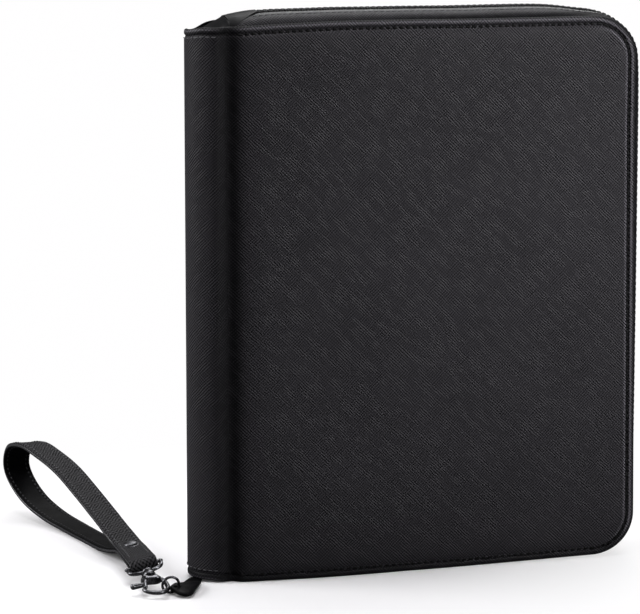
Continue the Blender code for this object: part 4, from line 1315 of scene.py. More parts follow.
@dataclass
class SpineEnds:
    """Cloth that closes the two ends of the spine, and the spine's lining, board, pen loop and stitches."""

    upper_rise: tuple = (
        (0.0013, -0.0052), (0.0050, -0.0049), (0.0092, -0.0042), (0.0135, -0.0019), (0.0175, 0.0008),
        (0.0225, 0.0036),
    )
    upper_wall: float = 0.0010
    upper_least: float = 0.0030
    upper_room: float = 0.0156
    upper_swell: float = 0.80
    upper_ridge: float = 0.0001
    fall: tuple = (0.25, 0.75)
    fall_reach: tuple = (0.004, 0.018)
    groove_room: float = 0.0026
    lower_x: tuple = (0.0036, 0.0206)
    lower_z: float = 0.0059
    lower_wall: float = 0.0018
    lower_least: float = 0.0035
    lower_sag: float = 0.0005
    lining_depth: tuple = (0.0032, 0.0039)
    lining_turn: float = 78.0
    lining_low: float = 0.0075
    lining_margin: float = 0.0040
    board_depth: tuple = (0.0018, 0.0029)
    board_turn: float = 64.0
    board_margins: tuple = (0.0014, 0.0050)
    seam_turn: float = 72.0
    seam_inset: float = 0.0058
    upper_seam_inset: float = 0.0050
    loop_x: float = 0.0102
    loop_radius: float = 0.0060
    loop_wall: float = 0.0010
    loop_low: float = 0.175
    loop_length: float = 0.042
    loop_soft: float = 0.0003
    cloth: float = 0.0011
    stitch_size: tuple = (0.0022, 0.00060, 0.00055)
    stitch_pitch: float = 0.0032
    stitch_rise: float = 0.00012

    def half_width(self, x: Array, inset: float) -> Array:
        """Half the room inside the spine at a distance from its outer face: an ellipse's chord."""
        reach = CASE.groove_x - inset
        level = np.clip((CASE.groove_x - x) / reach, -1.0, 1.0)
        return (CASE.spine_half - inset) * np.sqrt(np.maximum(1.0 - level ** 2, 0.0))

    def build(self, finishes: Finishes) -> None:
        """Make both end pieces, the lining with its pen loop, the board and the stitches on the spine."""
        self.upper(finishes)
        self.lower(finishes)
        self.line(finishes)
        self.stiffen(finishes)
        self.sew(finishes)

    def upper(self, finishes: Finishes) -> None:
        """Close the upper end with cloth that is arched like the zip tapes, more so towards the zip."""
        rise = spline(self.upper_rise, False, 24)
        x = rise[:, 0]
        groove = CoverSkin(Side.FRONT).valley(x - CASE.groove_x)
        half = np.clip(self.half_width(x, self.upper_wall), self.upper_least, self.upper_room)
        half = half - self.groove_room * groove
        line = ZipTape(Side.FRONT).section(np.array((self.upper_swell,)))[0]
        arm = stacked(line[:, 0] / line[0, 0], line[:, 1] - line[-1, 1])
        arch = np.concatenate([arm * MIRROR, [(0.0, self.upper_ridge)], arm[::-1]])
        start, reach = self.fall_reach
        fall = self.fall[0] + self.fall[1] * smooth((x - start) / reach)
        y = half[:, None] * arch[None, :, 0]
        z = CASE.height + rise[:, 1][:, None] + fall[:, None] * arch[None, :, 1]
        surface = self.end(stacked(x[:, None], y, z))
        upper = make_piece("upper_spine_end", surface, finishes.smooth, "spine")
        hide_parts("spine_gusset_upper")

    def lower(self, finishes: Finishes) -> None:
        """Close the lower end with cloth that hangs a little in the middle."""
        across = np.linspace(-1.0, 1.0, 29)
        x = np.linspace(*self.lower_x, 16)
        half = np.maximum(self.half_width(x, self.lower_wall), self.lower_least)
        z = self.lower_z - self.lower_sag * (1.0 - across ** 2)[None, :]
        surface = self.end(stacked(x[:, None], half[:, None] * across[None, :], z))
        lower = make_piece("lower_spine_end", surface, finishes.smooth, "spine")
        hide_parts("spine_gusset_lower")

    def end(self, top: Array) -> Surface:
        """Cloth of one spine end, from the grid of its upper face."""
        return slab(top, top - self.cloth * Z_AXIS, top[..., :2])

    def curved(self, half_turn: float, z: Array, depths: tuple, columns: int, stretch: float) -> Surface:
        """Sheet bent round the inside of the spine, an ellipse in plan.

        Args:
            half_turn: angle in degrees from the fold to each of its sides.
            z: levels from the sheet's foot to its head.
            depths: how far its two faces lie inside the spine's outer face.
            columns: number of points across it.
            stretch: metres of the flat map for one radian.

        Returns:
            The closed sheet.
        """
        turn = np.radians(np.linspace(-half_turn, half_turn, columns))[None, :]
        level = z[:, None]
        faces = []
        for depth in depths:
            x = CASE.groove_x - (CASE.groove_x - depth) * np.cos(turn)
            faces.append(stacked(x, (CASE.spine_half - depth) * np.sin(turn), level))
        return slab(faces[0], faces[1], stacked(turn * stretch, level))

    def stiffen(self, finishes: Finishes) -> None:
        """Bend a thin board round the inside of the spine's skin, clear of both grooves."""
        low, high = self.board_margins
        z = np.linspace(CASE.spine_low + low, CASE.spine_top - high, 31)
        sheet = self.curved(self.board_turn, z, self.board_depth, columns=41, stretch=0.018)
        board = make_piece("spine_stiffener", sheet, finishes.board, "spine", sharp=40.0)
        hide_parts("spine_board")

    def sew(self, finishes: Finishes) -> None:
        """Sew across the spine near both of its ends, in rows that follow its curve."""
        angle = np.radians(np.linspace(-self.seam_turn, self.seam_turn, 81))
        x, y, plan = CASE.spine_curve(angle)
        normal = stacked(plan[:, 0], plan[:, 1], 0.0)
        rows = []
        front, back = (CoverSkin(side).spine_head(np.abs(angle)) for side in Side)
        head = np.where(y < 0.0, front, back)
        for level in (CASE.spine_low + self.seam_inset, head - self.upper_seam_inset):
            path = stacked(x, y, level) + normal * self.stitch_rise
            rows.append(stitch_row(path, normal, self.stitch_pitch, pill(*self.stitch_size)))
        make_piece("spine_end_stitches", Surface.join(rows), finishes.pale_thread, "spine")

    def line(self, finishes: Finishes) -> None:
        """Line the spine with a curved cloth and sew the elastic pen loop to it."""
        z = np.linspace(self.lining_low, CASE.spine_top - self.lining_margin, 41)
        sheet = self.curved(self.lining_turn, z, self.lining_depth, columns=49, stretch=0.016)
        lining = make_piece("spine_cloth", sheet, finishes.lining, "spine")
        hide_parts("spine_lining")
        outside, inside = self.loop_radius, self.loop_radius - self.loop_wall
        length = self.loop_length
        soft = self.loop_soft
        profile = (
            (inside, soft), (inside + soft, 0.0), (outside - soft, 0.0), (outside, soft),
            (outside, 0.30 * length), (outside, 0.60 * length), (outside, length - soft),
            (outside - soft, length), (inside + soft, length), (inside, length - soft), (inside, soft),
        )
        base = np.array((self.loop_x, 0.0, self.loop_low))
        tube = lathe(profile, base, Z_AXIS, X_AXIS)
        loop = make_piece("elastic_pen_loop", tube, finishes.elastic, "spine", sharp=45.0)
        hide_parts("pen_loop")


@dataclass
class Leaf:
    """One flat cloth or leather leaf inside a cover, with a turned hem and a row of stitches."""

    name: str
    node: str
    low_corner: tuple
    high_corner: tuple
    depth: tuple
    left_corner: float = 0.003
    right_corner: float = 0.003
    notch: float = 0.0
    notch_deep: float = 0.8
    notch_power: float = 0.8
    notch_from: float = 0.4
    hem: float = 0.0022
    edge_round: float = 0.00025
    seam_dip: float = 0.00012
    seam_half: float = 0.00045
    seam_share: float = 0.3
    stitch_size: tuple = (0.0021, 0.0005, 0.0004)
    stitch_pitch: float = 0.0030
    stitch_rise: float = 0.00008
    grid_step: tuple = (0.004, 0.006)
    insets: tuple = (0.0, 0.0001, 0.0003, 0.0010, 0.0019, 0.0022, 0.0025, 0.0032, 0.0060)

    def build(self, side: Side, material: Material) -> bpy.types.Object:
        """Make the leaf.

        Args:
            side: the cover that it lies in.
            material: its cloth.

        Returns:
            The leaf, which rides on the cover.
        """
        left, low = self.low_corner
        right, top = self.high_corner
        edges = np.array(self.insets)
        radius = max(self.left_corner, self.right_corner)
        if radius > edges[-1]:
            edges = np.append(edges, radius)
        across = spread_places(left, right, edges, self.grid_step[0])
        upward = spread_places(low, top, edges, self.grid_step[1])
        panel = PanelGrid(left, low, right, top, self.left_corner, self.right_corner)
        x, z, inset = panel.points(across, upward)
        inset = np.minimum(inset, np.minimum(x - left, right - x))
        if self.notch > 0.0:
            gap = np.clip(1.0 - ((x - (left + right) / 2.0) / self.notch) ** 2, 0.0, 1.0)
            upper = smooth((z - low) / (top - low) * (1.0 + self.notch_from) - self.notch_from)
            z = z - self.notch_deep * self.notch * gap ** self.notch_power * upper
        drop = round_off(inset, self.edge_round)
        seam = self.seam_dip * bell(inset - self.hem, self.seam_half)
        shallow, deep = self.depth
        inward = shallow + drop + np.minimum(seam, self.seam_share * (deep - shallow))
        outer = stacked(x, side.value * inward, z)
        inner = stacked(x, side.value * (deep - drop), z)
        leaf = make_piece(self.name, slab(outer, inner, stacked(x, z)), material, side.body)
        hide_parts(self.node)
        return leaf

    def sew(self, side: Side, finishes: Finishes, open_top: bool) -> None:
        """Run a row of stitches along the hem, also along the top edge unless the pocket opens there."""
        left, low = self.low_corner
        right, top = self.high_corner
        hem = self.hem
        corners = np.array((
            (left + hem, top - hem), (left + hem, low + hem),
            (right - hem, low + hem), (right - hem, top - hem),
        ))
        rows = []
        y = side.value * (self.depth[0] + self.stitch_rise)
        normal = np.array((0.0, -side.value, 0.0))
        stitch = pill(*self.stitch_size, columns=6)
        pairs = [(0, 1), (1, 2), (2, 3)] + ([] if open_top else [(3, 0)])
        for first, last in pairs:
            steps = np.linspace(0.0, 1.0, 40)[:, None]
            flat = corners[first] + (corners[last] - corners[first]) * steps
            path = stacked(flat[:, 0], y, flat[:, 1])
            rows.append(stitch_row(path, normal, self.stitch_pitch, stitch))
        make_piece(self.name + "_stitches", Surface.join(rows), finishes.thread, side.body)


@dataclass
class Inside:
    """Linings and pockets of both covers."""

    welt_width: float = 0.0040
    welt_depth: tuple = (0.0050, 0.0132)
    welt_bend: float = 0.003
    welt_step: float = 0.001
    pleats: int = 3
    pleat_deep: float = 0.22
    tablet_low: tuple = (0.040, 0.016)
    tablet_high: tuple = (0.232, 0.276)
    card_low: tuple = (0.042, 0.018)
    card_right: float = 0.142

    def build(self, finishes: Finishes) -> None:
        """Make the linings, the tablet pocket, the document pocket and the card pockets."""
        for side in Side:
            lining = Leaf(
                side.word + "_cloth_lining", side.word + "_lining", (0.0312, 0.0105), (0.2415, 0.2995),
                (0.0135, 0.0143), right_corner=0.0135,
            )
            cloth = lining.build(side, finishes.lining)
            side.word + "_board"
        tablet = Leaf(
            "tablet_pocket", "tablet_pocket_panel", self.tablet_low, self.tablet_high, (0.0035, 0.0047),
            notch=0.014,
        )
        tablet.build(Side.BACK, finishes.pocket)
        tablet.sew(Side.BACK, finishes, True)
        self.welt(finishes)
        sleeve_depth = (0.0123, 0.0132)
        leaves = [Leaf("document_sleeve", "document_pocket", (0.036, 0.014), (0.236, 0.200), sleeve_depth)]
        for word, top, depth in (
            ("rear", 0.152, (0.0111, 0.0120)), ("middle", 0.114, (0.0099, 0.0108)),
            ("front", 0.076, (0.0087, 0.0096)),
        ):
            corner = (self.card_right, top)
            leaves.append(Leaf("card_sleeve_" + word, "card_pocket_" + word, self.card_low, corner, depth))
        for leaf in leaves:
            leaf.build(Side.FRONT, finishes.pocket)
            leaf.sew(Side.FRONT, finishes, False)

    def welt(self, finishes: Finishes) -> None:
        """Join the tablet pocket to the lining with a pleated band along three edges.

        The band's section is a flat tube with three soft pleats; it is carried along a U.
        """
        half = self.welt_width / 2.0
        left, low = (place + half for place in self.tablet_low)
        right, top = self.tablet_high[0] - half, self.tablet_high[1]
        bend = self.welt_bend
        turn = quarter(7)
        first = stacked(left + bend - bend * np.cos(turn), low + bend - bend * np.sin(turn))
        second = stacked(right - bend + bend * np.sin(turn), low + bend - bend * np.cos(turn))
        sides = np.linspace(top, low + bend + self.welt_step, 60)
        floor = np.linspace(left + bend + self.welt_step, right - bend - self.welt_step, 60)
        flat = np.concatenate([
            stacked(left, sides), first, stacked(floor, low), second, stacked(right, sides[::-1]),
        ])
        path = stacked(flat[:, 0], 0.0, flat[:, 1])
        ahead = unit(np.gradient(path, axis=0))
        side = np.cross(ahead, Y_AXIS)
        near, far = self.welt_depth
        down = np.linspace(near, far, 19)
        wave = np.cos((down - near) / (far - near) * 2.0 * self.pleats * math.pi)
        pleat = half * (1.0 - self.pleat_deep + self.pleat_deep * wave)
        edge = stacked(pleat, down)
        profile = np.concatenate([edge, edge[::-1] * MIRROR, edge[:1]])
        band = sweep(path, side, Y_AXIS, profile)
        body = Side.BACK.body
        welt = make_piece("tablet_pocket_pleats", band, finishes.elastic, body, sharp=60.0)
        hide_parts("tablet_pocket_welt")


@dataclass(frozen=True)
class HookFrame:
    """Place of the snap hook: its bar's middle, and its turn, droop and the eye's roll."""

    bar: tuple = (-0.0260, -0.0035, 0.0095)
    turn: float = math.radians(0.5)
    droop: float = math.radians(9.0)
    eye_roll: float = math.radians(14.0)

    def axes(self, roll: float = 0.0) -> Array:
        """Directions across, along and up as rows: roll about Y, then droop about X, then turn about Z."""
        ct, st = math.cos(self.turn), math.sin(self.turn)
        cd, sd = math.cos(self.droop), math.sin(self.droop)
        cr, sr = math.cos(-roll), math.sin(-roll)
        about_z = np.array(((ct, -st, 0.0), (st, ct, 0.0), (0.0, 0.0, 1.0)))
        about_x = np.array(((1.0, 0.0, 0.0), (0.0, cd, -sd), (0.0, sd, cd)))
        about_y = np.array(((cr, 0.0, sr), (0.0, 1.0, 0.0), (-sr, 0.0, cr)))
        return (about_z @ about_x @ about_y).T

    def place(self, local: Array, roll: float = 0.0) -> Array:
        """Case coordinates of points given across, along and up from the bar's middle."""
        return np.array(self.bar) + local @ self.axes(roll)


@dataclass
class WristStrap:
    """Two-ply strap sewn along both edges, folded round the bar and riveted."""

    hook: HookFrame
    width: float = 0.015
    ply: float = 0.0011
    clearance: float = 0.0002
    glue_share: float = 0.3
    pinch_rise: float = 0.0004
    roll_fade: float = 0.060
    rivet_along: float = 0.032
    rivet_radius: float = 0.004
    stitch_inset: float = 0.0021
    stitch_size: tuple = (0.0020, 0.00095, 0.0008)
    stitch_pitch: float = 0.0029
    stitch_from: float = 0.0085
    stitch_rise: float = 0.00002
    drift_factor: float = 1.1
    pinch_along: tuple = (0.0140, 0.0260, 0.0380)
    neck: tuple = (0.0050, 0.0024)
    diagonal: float = 0.7071
    steps: int = 361
    bar_room: float = 0.0016
    layer_gap: float = 0.0003
    edge_soft: float = 0.00042
    coat: tuple = (0.00028, 0.00075)
    lower: tuple = (
        (0.0500, -0.0028, -0.0041), (0.0650, -0.0051, -0.0068), (0.0880, -0.0095, -0.0078),
        (0.1120, -0.0168, -0.0070), (0.1330, -0.0252, -0.0044), (0.1510, -0.0330, 0.0014),
        (0.1635, -0.0383, 0.0102), (0.1680, -0.0405, 0.0195),
    )
    upper: tuple = (
        (0.1620, -0.0393, 0.0305), (0.1490, -0.0340, 0.0344), (0.1330, -0.0275, 0.0320),
        (0.1130, -0.0205, 0.0272), (0.0890, -0.0138, 0.0192), (0.0660, -0.0078, 0.0112),
        (0.0500, -0.0040, 0.0058),
    )

    def directions(self) -> tuple[Array, Array, Array]:
        """Along the bar, level away from it, and up square to both."""
        across = self.hook.axes(self.hook.eye_roll)[0]
        away = unit(np.cross(Z_AXIS, across))
        return across, away, np.cross(across, away)

    def drift(self, along: float) -> Array:
        """Sideways drift of the pinched part: minus a factor times the square of the distance."""
        return np.array((-self.drift_factor * along * along, 0.0, 0.0))

    def middle(self) -> Array:
        """Middle line of the strap, round the bar, pinched, and then an open loop."""
        turn = self.bar_room + self.ply + self.clearance
        pinch = self.layer_gap + self.ply + self.clearance
        _, away, up = self.directions()
        near = self.pinch_along
        along, aside = self.neck
        knots = [-turn * up, along * away - aside * up]
        knots += [a * away + (self.pinch_rise - pinch) * up + self.drift(a) for a in near]
        knots += [np.array((side, far, height)) for far, side, height in self.lower + self.upper]
        knots += [a * away + (self.pinch_rise + pinch) * up + self.drift(a) for a in near[::-1]]
        knots += [along * away + aside * up, turn * up, self.diagonal * turn * (up - away)]
        knots += [-turn * away, -self.diagonal * turn * (up + away)]
        return spline(knots, True, self.steps)

    def carried(self) -> tuple[Array, Array, Array]:
        """Middle line with the directions across it and out of the loop at each point."""
        line = self.middle()
        ahead = np.roll(line[:-1], -1, axis=0) - np.roll(line[:-1], 1, axis=0)
        ahead = unit(np.concatenate([ahead, ahead[:1]]))
        bar_way = self.directions()[0]
        fade = np.clip(1.0 - line[:, 1] / self.roll_fade, 0.0, 1.0)[:, None]
        across = fade * bar_way + (1.0 - fade) * X_AXIS
        outward = unit(np.cross(ahead, across))
        return line + np.array(self.hook.bar), np.cross(outward, ahead), outward

    def ply_profile(self, first: float, last: float) -> Array:
        """Closed section of one ply: a flat bar whose far edges are round and near edges square."""
        half = self.width / 2.0
        soft = self.edge_soft
        turn = quarter(5)
        flat = np.linspace(-half + soft, half - soft, 11)
        sign = 1.0 if last > first else -1.0
        round_y = last - sign * soft + sign * soft * np.sin(turn)
        right = stacked(half - soft + soft * np.cos(turn), round_y)
        top = stacked(flat[::-1], last)
        left = right[::-1] * MIRROR
        foot = stacked(np.array((-half, -half + soft, 0.0, half - soft, half)), first)
        return np.concatenate([right, top[1:-1], left, foot, right[:1]])

    def build(self, finishes: Finishes) -> None:
        """Make both plies, their stitches and the rivet, which ride on the strap's body."""
        path, across, outward = self.carried()
        gap = self.clearance * self.glue_share
        outer = sweep(path, across, outward, self.ply_profile(gap, self.clearance + self.ply), capped=False)
        inner = sweep(path, across, outward, self.ply_profile(-gap, -self.clearance - self.ply), capped=False)
        top = make_piece("strap_outer_ply", outer, finishes.strap, "wrist_strap", CRISP)
        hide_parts("strap_outer")
        under = make_piece("strap_inner_ply", inner, finishes.strap_back, "wrist_strap", CRISP)
        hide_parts("strap_inner")
        stitch = pill(*self.stitch_size)
        run = path[:, 1] - self.hook.bar[1]
        free = run > self.stitch_from
        first = int(np.argmax(free))
        last = len(free) - int(np.argmax(free[::-1]))
        for name, face, thread in (
            ("strap_stitches", 1.0, finishes.strap_thread), ("strap_inner_stitches", -1.0, finishes.thread),
        ):
            offset = face * (self.clearance + self.ply + self.stitch_rise)
            rows = []
            for sign in (-1.0, 1.0):
                seam = path + across * sign * (self.width / 2.0 - self.stitch_inset) + outward * offset
                up = outward[first:last] * face
                rows.append(stitch_row(seam[first:last], up, self.stitch_pitch, stitch))
            make_piece(name, Surface.join(rows), thread, "wrist_strap")
        bead = circle(10) * np.array(self.coat)
        edges = (path + across * side * self.width / 2.0 for side in (-1.0, 1.0))
        coats = [sweep(edge, across, outward, bead, capped=False) for edge in edges]
        make_piece("strap_edge_coats", Surface.join(coats), finishes.strap_edge, "wrist_strap")
        self.rivet(finishes)

    def rivet(self, finishes: Finishes) -> None:
        """Turn the domed rivet, its washer lip and the cap under the strap."""
        across, away, up = self.directions()
        fade = 1.0 - self.rivet_along / self.roll_fade
        level = unit(fade * across + (1.0 - fade) * X_AXIS)
        normal = unit(np.cross(level, away))
        middle = self.rivet_along * away + self.pinch_rise * up + self.drift(self.rivet_along)
        face = self.layer_gap + 2.0 * self.ply + 2.0 * self.clearance
        turn = quarter(13)
        dome = stacked(self.rivet_radius * np.sin(turn), face + 0.0005 + 0.0016 * np.cos(turn))
        rest = np.array((
            (self.rivet_radius * 0.97, face + 0.0003), (0.0044, face + 0.0003), (0.0048, face + 0.0002),
            (0.0049, face - 0.0001), (0.0013, face - 0.0002), (0.0013, -face + 0.0002),
            (0.0032, -face), (0.0032, -face - 0.0003), (0.0028, -face - 0.0006), (0.0, -face - 0.0007),
        ))
        surface = lathe(np.concatenate([dome, rest]), np.array(self.hook.bar) + middle, normal, level)
        rivet = make_piece("strap_dome_rivet", surface, finishes.satin, "wrist_strap", CRISP)
        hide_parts("strap_rivet")


@dataclass
class SnapHook:
    """Swivel snap hook: barrel, forked shoulder, claw, gate with its trigger, eye and ring."""

    hook: HookFrame
    wire: float = 0.0011
    claw: tuple = (
        (0.0042, -0.0187), (0.0062, -0.0212), (0.0070, -0.0247), (0.0070, -0.0297), (0.0062, -0.0328),
        (0.0042, -0.0353), (0.0008, -0.0366), (-0.0030, -0.0360), (-0.0058, -0.0339), (-0.0073, -0.0308),
    )
    eye_half: tuple = (
        (0.0085, 0.0), (0.0093, -0.0010), (0.0093, -0.0040), (0.0080, -0.0064), (0.0045, -0.0080),
    )
    ring_middle: tuple = (0.0088, -0.0287, 0.0005)
    ring_radius: float = 0.0046
    ring_wire: float = 0.00075
    turned_steps: int = 32
    block_steps: int = 25

    def wire_along(
        self, route: Array | tuple, radius: Array | tuple, count: int, closed: bool = False, roll: float = 0.0
    ) -> Surface:
        """Round wire along a flat route in the hook's plane; its ends are drawn in to half spheres.

        Args:
            route: points across and along the hook that the wire passes through.
            radius: radii at even steps along the wire.
            count: number of rings.
            closed: whether the route comes back to its first point.
            roll: turn of the plane about the hook's long axis.

        Returns:
            The wire.
        """
        flat = spline(route, closed, count)
        path = self.hook.place(stacked(flat[:, 0], flat[:, 1], 0.0), roll)
        up = self.hook.axes(roll)[2]
        ahead = np.gradient(path, axis=0)
        if closed:
            ahead[0] = ahead[-1] = path[1] - path[-2]
        side = unit(np.cross(up, ahead))
        size = np.interp(np.linspace(0.0, 1.0, count), np.linspace(0.0, 1.0, len(radius)), radius)
        if not closed:
            run = run_length(path)
            near = np.minimum(run, run[-1] - run) / size
            size = size * np.sqrt(np.clip(1.0 - np.clip(1.0 - near, 0.0, 1.0) ** 2, 0.0004, 1.0))
        profile = circle(16)[None] * size[:, None, None]
        return sweep(path, side, up, profile, capped=not closed)

    def turned(self, profile: tuple, roll: float = 0.0) -> Surface:
        """Turned part about the hook's long axis; the profile gives radius and place along it."""
        axes = self.hook.axes(roll)
        return lathe(profile, np.array(self.hook.bar), axes[1], axes[0], self.turned_steps)

    def block(self, stations: Array, half_thick: float, roundness: float) -> Surface:
        """Loft a rounded block along the hook: left and right ends at each station, blunt sides.

        It draws in towards both ends by a slimness: one minus the sixth power of the distance from the
        middle, to the power 0.35.

        Args:
            stations: rows of place along, left end and right end.
            half_thick: half the thickness.
            roundness: power that squares the section; 1 gives an ellipse.

        Returns:
            The closed block.
        """
        count = self.block_steps
        fine = look_up(np.linspace(0.0, 1.0, count), np.linspace(0.0, 1.0, len(stations)), stations)
        ring = circle(24)
        square = np.sign(ring) * np.abs(ring) ** roundness
        middle = (fine[:, 1] + fine[:, 2]) / 2.0
        half = (fine[:, 2] - fine[:, 1]) / 2.0
        slim = (1.0 - np.abs(np.linspace(-1.0, 1.0, count)) ** 6) ** 0.35
        slim[[0, -1]] = 0.55
        wide = half * (0.55 + 0.45 * slim)
        thick = half_thick * (0.7 + 0.3 * slim)
        profile = stacked(square[:, 0] * wide[:, None], square[:, 1] * thick[:, None])
        local = stacked(middle, fine[:, 0], 0.0)
        across, _, up = self.hook.axes()
        return sweep(self.hook.place(local), across, up, profile)

    def build(self, finishes: Finishes) -> None:
        """Make the claw with its barrel, the gate, the eye and the ring, each on its own body."""
        barrel = self.turned((
            (0.0019, -0.0130), (0.0019, -0.0103), (0.0024, -0.0101), (0.0031, -0.0102), (0.0036, -0.0107),
            (0.0037, -0.0113), (0.0034, -0.0117), (0.0034, -0.0121), (0.0037, -0.0125), (0.0037, -0.0160),
            (0.0034, -0.0164), (0.0034, -0.0168), (0.0036, -0.0172), (0.0036, -0.0180), (0.0, -0.0182),
        ))
        shoulder = self.block(np.array((
            (-0.0162, -0.0032, 0.0032), (-0.0174, -0.0044, 0.0042), (-0.0186, -0.0055, 0.0052),
            (-0.0196, -0.0060, 0.0056), (-0.0205, -0.0058, 0.0054), (-0.0212, -0.0052, 0.0044),
        )), 0.0025, 0.55)
        tapers = np.array((1.25, 1.25, 1.2, 1.2, 1.2, 1.2, 1.15, 1.05, 0.95, 0.85)) * self.wire
        claw = self.wire_along(self.claw, tapers, 81)
        whole = Surface.join([barrel, shoulder, claw])
        body = make_piece("snap_hook_body", whole, finishes.metal, "hook", CRISP)
        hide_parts("hook_claw")
        arm = self.wire_along(
            ((-0.0040, -0.0196), (-0.0046, -0.0230), (-0.0050, -0.0262), (-0.0054, -0.0300)),
            (0.0020, 0.0016, 0.0014, 0.0012), 33,
        )
        trigger = self.wire_along(
            ((-0.0048, -0.0250), (-0.0080, -0.0260), (-0.0110, -0.0268), (-0.0133, -0.0275)),
            (0.0013, 0.0014, 0.0016, 0.0018), 33,
        )
        gate = make_piece("snap_hook_gate", Surface.join([arm, trigger]), finishes.metal, "gate")
        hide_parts("hook_gate")
        half = np.array(self.eye_half)
        route = np.concatenate([half, [(0.0, -0.0084)], half[::-1] * MIRROR])
        eye = self.wire_along(route, (self.wire, self.wire), 97, True, self.hook.eye_roll)
        post = self.turned(
            ((0.0, -0.0070), (0.0014, -0.0074), (0.0017, -0.0082), (0.0016, -0.0129), (0.0, -0.0130)),
            self.hook.eye_roll,
        )
        whole = Surface.join([eye, post])
        swivel = make_piece("swivel_bail", whole, finishes.metal, "swivel", CRISP)
        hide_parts("swivel_eye")
        ring = circle(56) * self.ring_radius
        local = stacked(ring[:, 0], 0.0, ring[:, 1])
        path = self.hook.place(np.array(self.ring_middle) + local)
        axes = self.hook.axes()
        surface = sweep(path, unit(local) @ axes, axes[1], circle(14) * self.ring_wire, capped=False)
        piece = make_piece("split_ring", surface, finishes.metal, "ring")
        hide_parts("anchor_ring")


@dataclass
class AnchorTab:
    """Leather tongue from under the foot of the spine out to the front, holed for the ring."""

    hook: HookFrame
    hole_shift: tuple = (0.01264, -0.0287, -0.00203)
    hole_radius: float = 0.0020
    thickness: float = 0.0024
    droop: float = 0.0016
    edge: tuple = (
        (0.0010, -0.0040), (-0.0070, -0.0150), (-0.0130, -0.0235), (-0.0162, -0.0285), (-0.0172, -0.0314),
        (-0.0165, -0.0345), (-0.0154, -0.0375), (-0.0134, -0.0410), (-0.0104, -0.0430), (-0.0068, -0.0410),
        (-0.0036, -0.0350), (0.0004, -0.0265), (0.0038, -0.0154), (0.0070, -0.0040),
    )
    root_level: float = 0.0007
    root_from: float = 0.0250
    root_run: float = 0.0100
    root_thin: float = 0.55
    lift: float = 0.0001
    droop_run: float = 0.0145

    def build(self, finishes: Finishes) -> None:
        """Make the tab: rings of sections from the hole's edge out to the outline, blunt at both.

        The section's height goes with the sine to the power 0.45, and its place between the edges with
        the cosine to the power 0.5. The tongue droops to the floor past the hole with the square of the
        distance. Towards its root it thins and comes down, to pass under the spine's edge.
        """
        hole = self.hook.place(np.array(self.hole_shift))
        outline = spline(self.edge, True, 121)
        spoke = outline - hole[:2]
        inner = hole[:2] + unit(spoke) * self.hole_radius
        turn = np.linspace(0.0, 2.0 * math.pi, 33)
        share = 0.5 - 0.5 * np.sign(np.cos(turn)) * np.abs(np.cos(turn)) ** 0.5
        height = np.sign(np.sin(turn)) * np.abs(np.sin(turn)) ** 0.45 * self.thickness / 2.0
        flat = inner[:, None] + (outline - inner)[:, None] * share[None, :, None]
        past = np.clip((hole[1] - flat[..., 1]) / self.droop_run, 0.0, 1.0)
        root = smooth((flat[..., 1] + self.root_from) / self.root_run)
        middle = hole[2] + self.lift - self.droop * past ** 2
        level = middle + (self.root_level - middle) * root + height[None, :] * (1.0 - self.root_thin * root)
        points = np.concatenate([flat, level[..., None]], axis=-1)
        tab = make_piece("leather_tab", grid(points, flat), finishes.smooth, "spine")
        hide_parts("anchor_tab")


@dataclass(frozen=True)
class Lamp:
    """Soft rectangular lamp: its place, the point it faces, its size, its watts and its beam in degrees."""

    name: str
    eye: tuple
    aim: tuple
    size: tuple
    power: float
    spread: float = 180.0


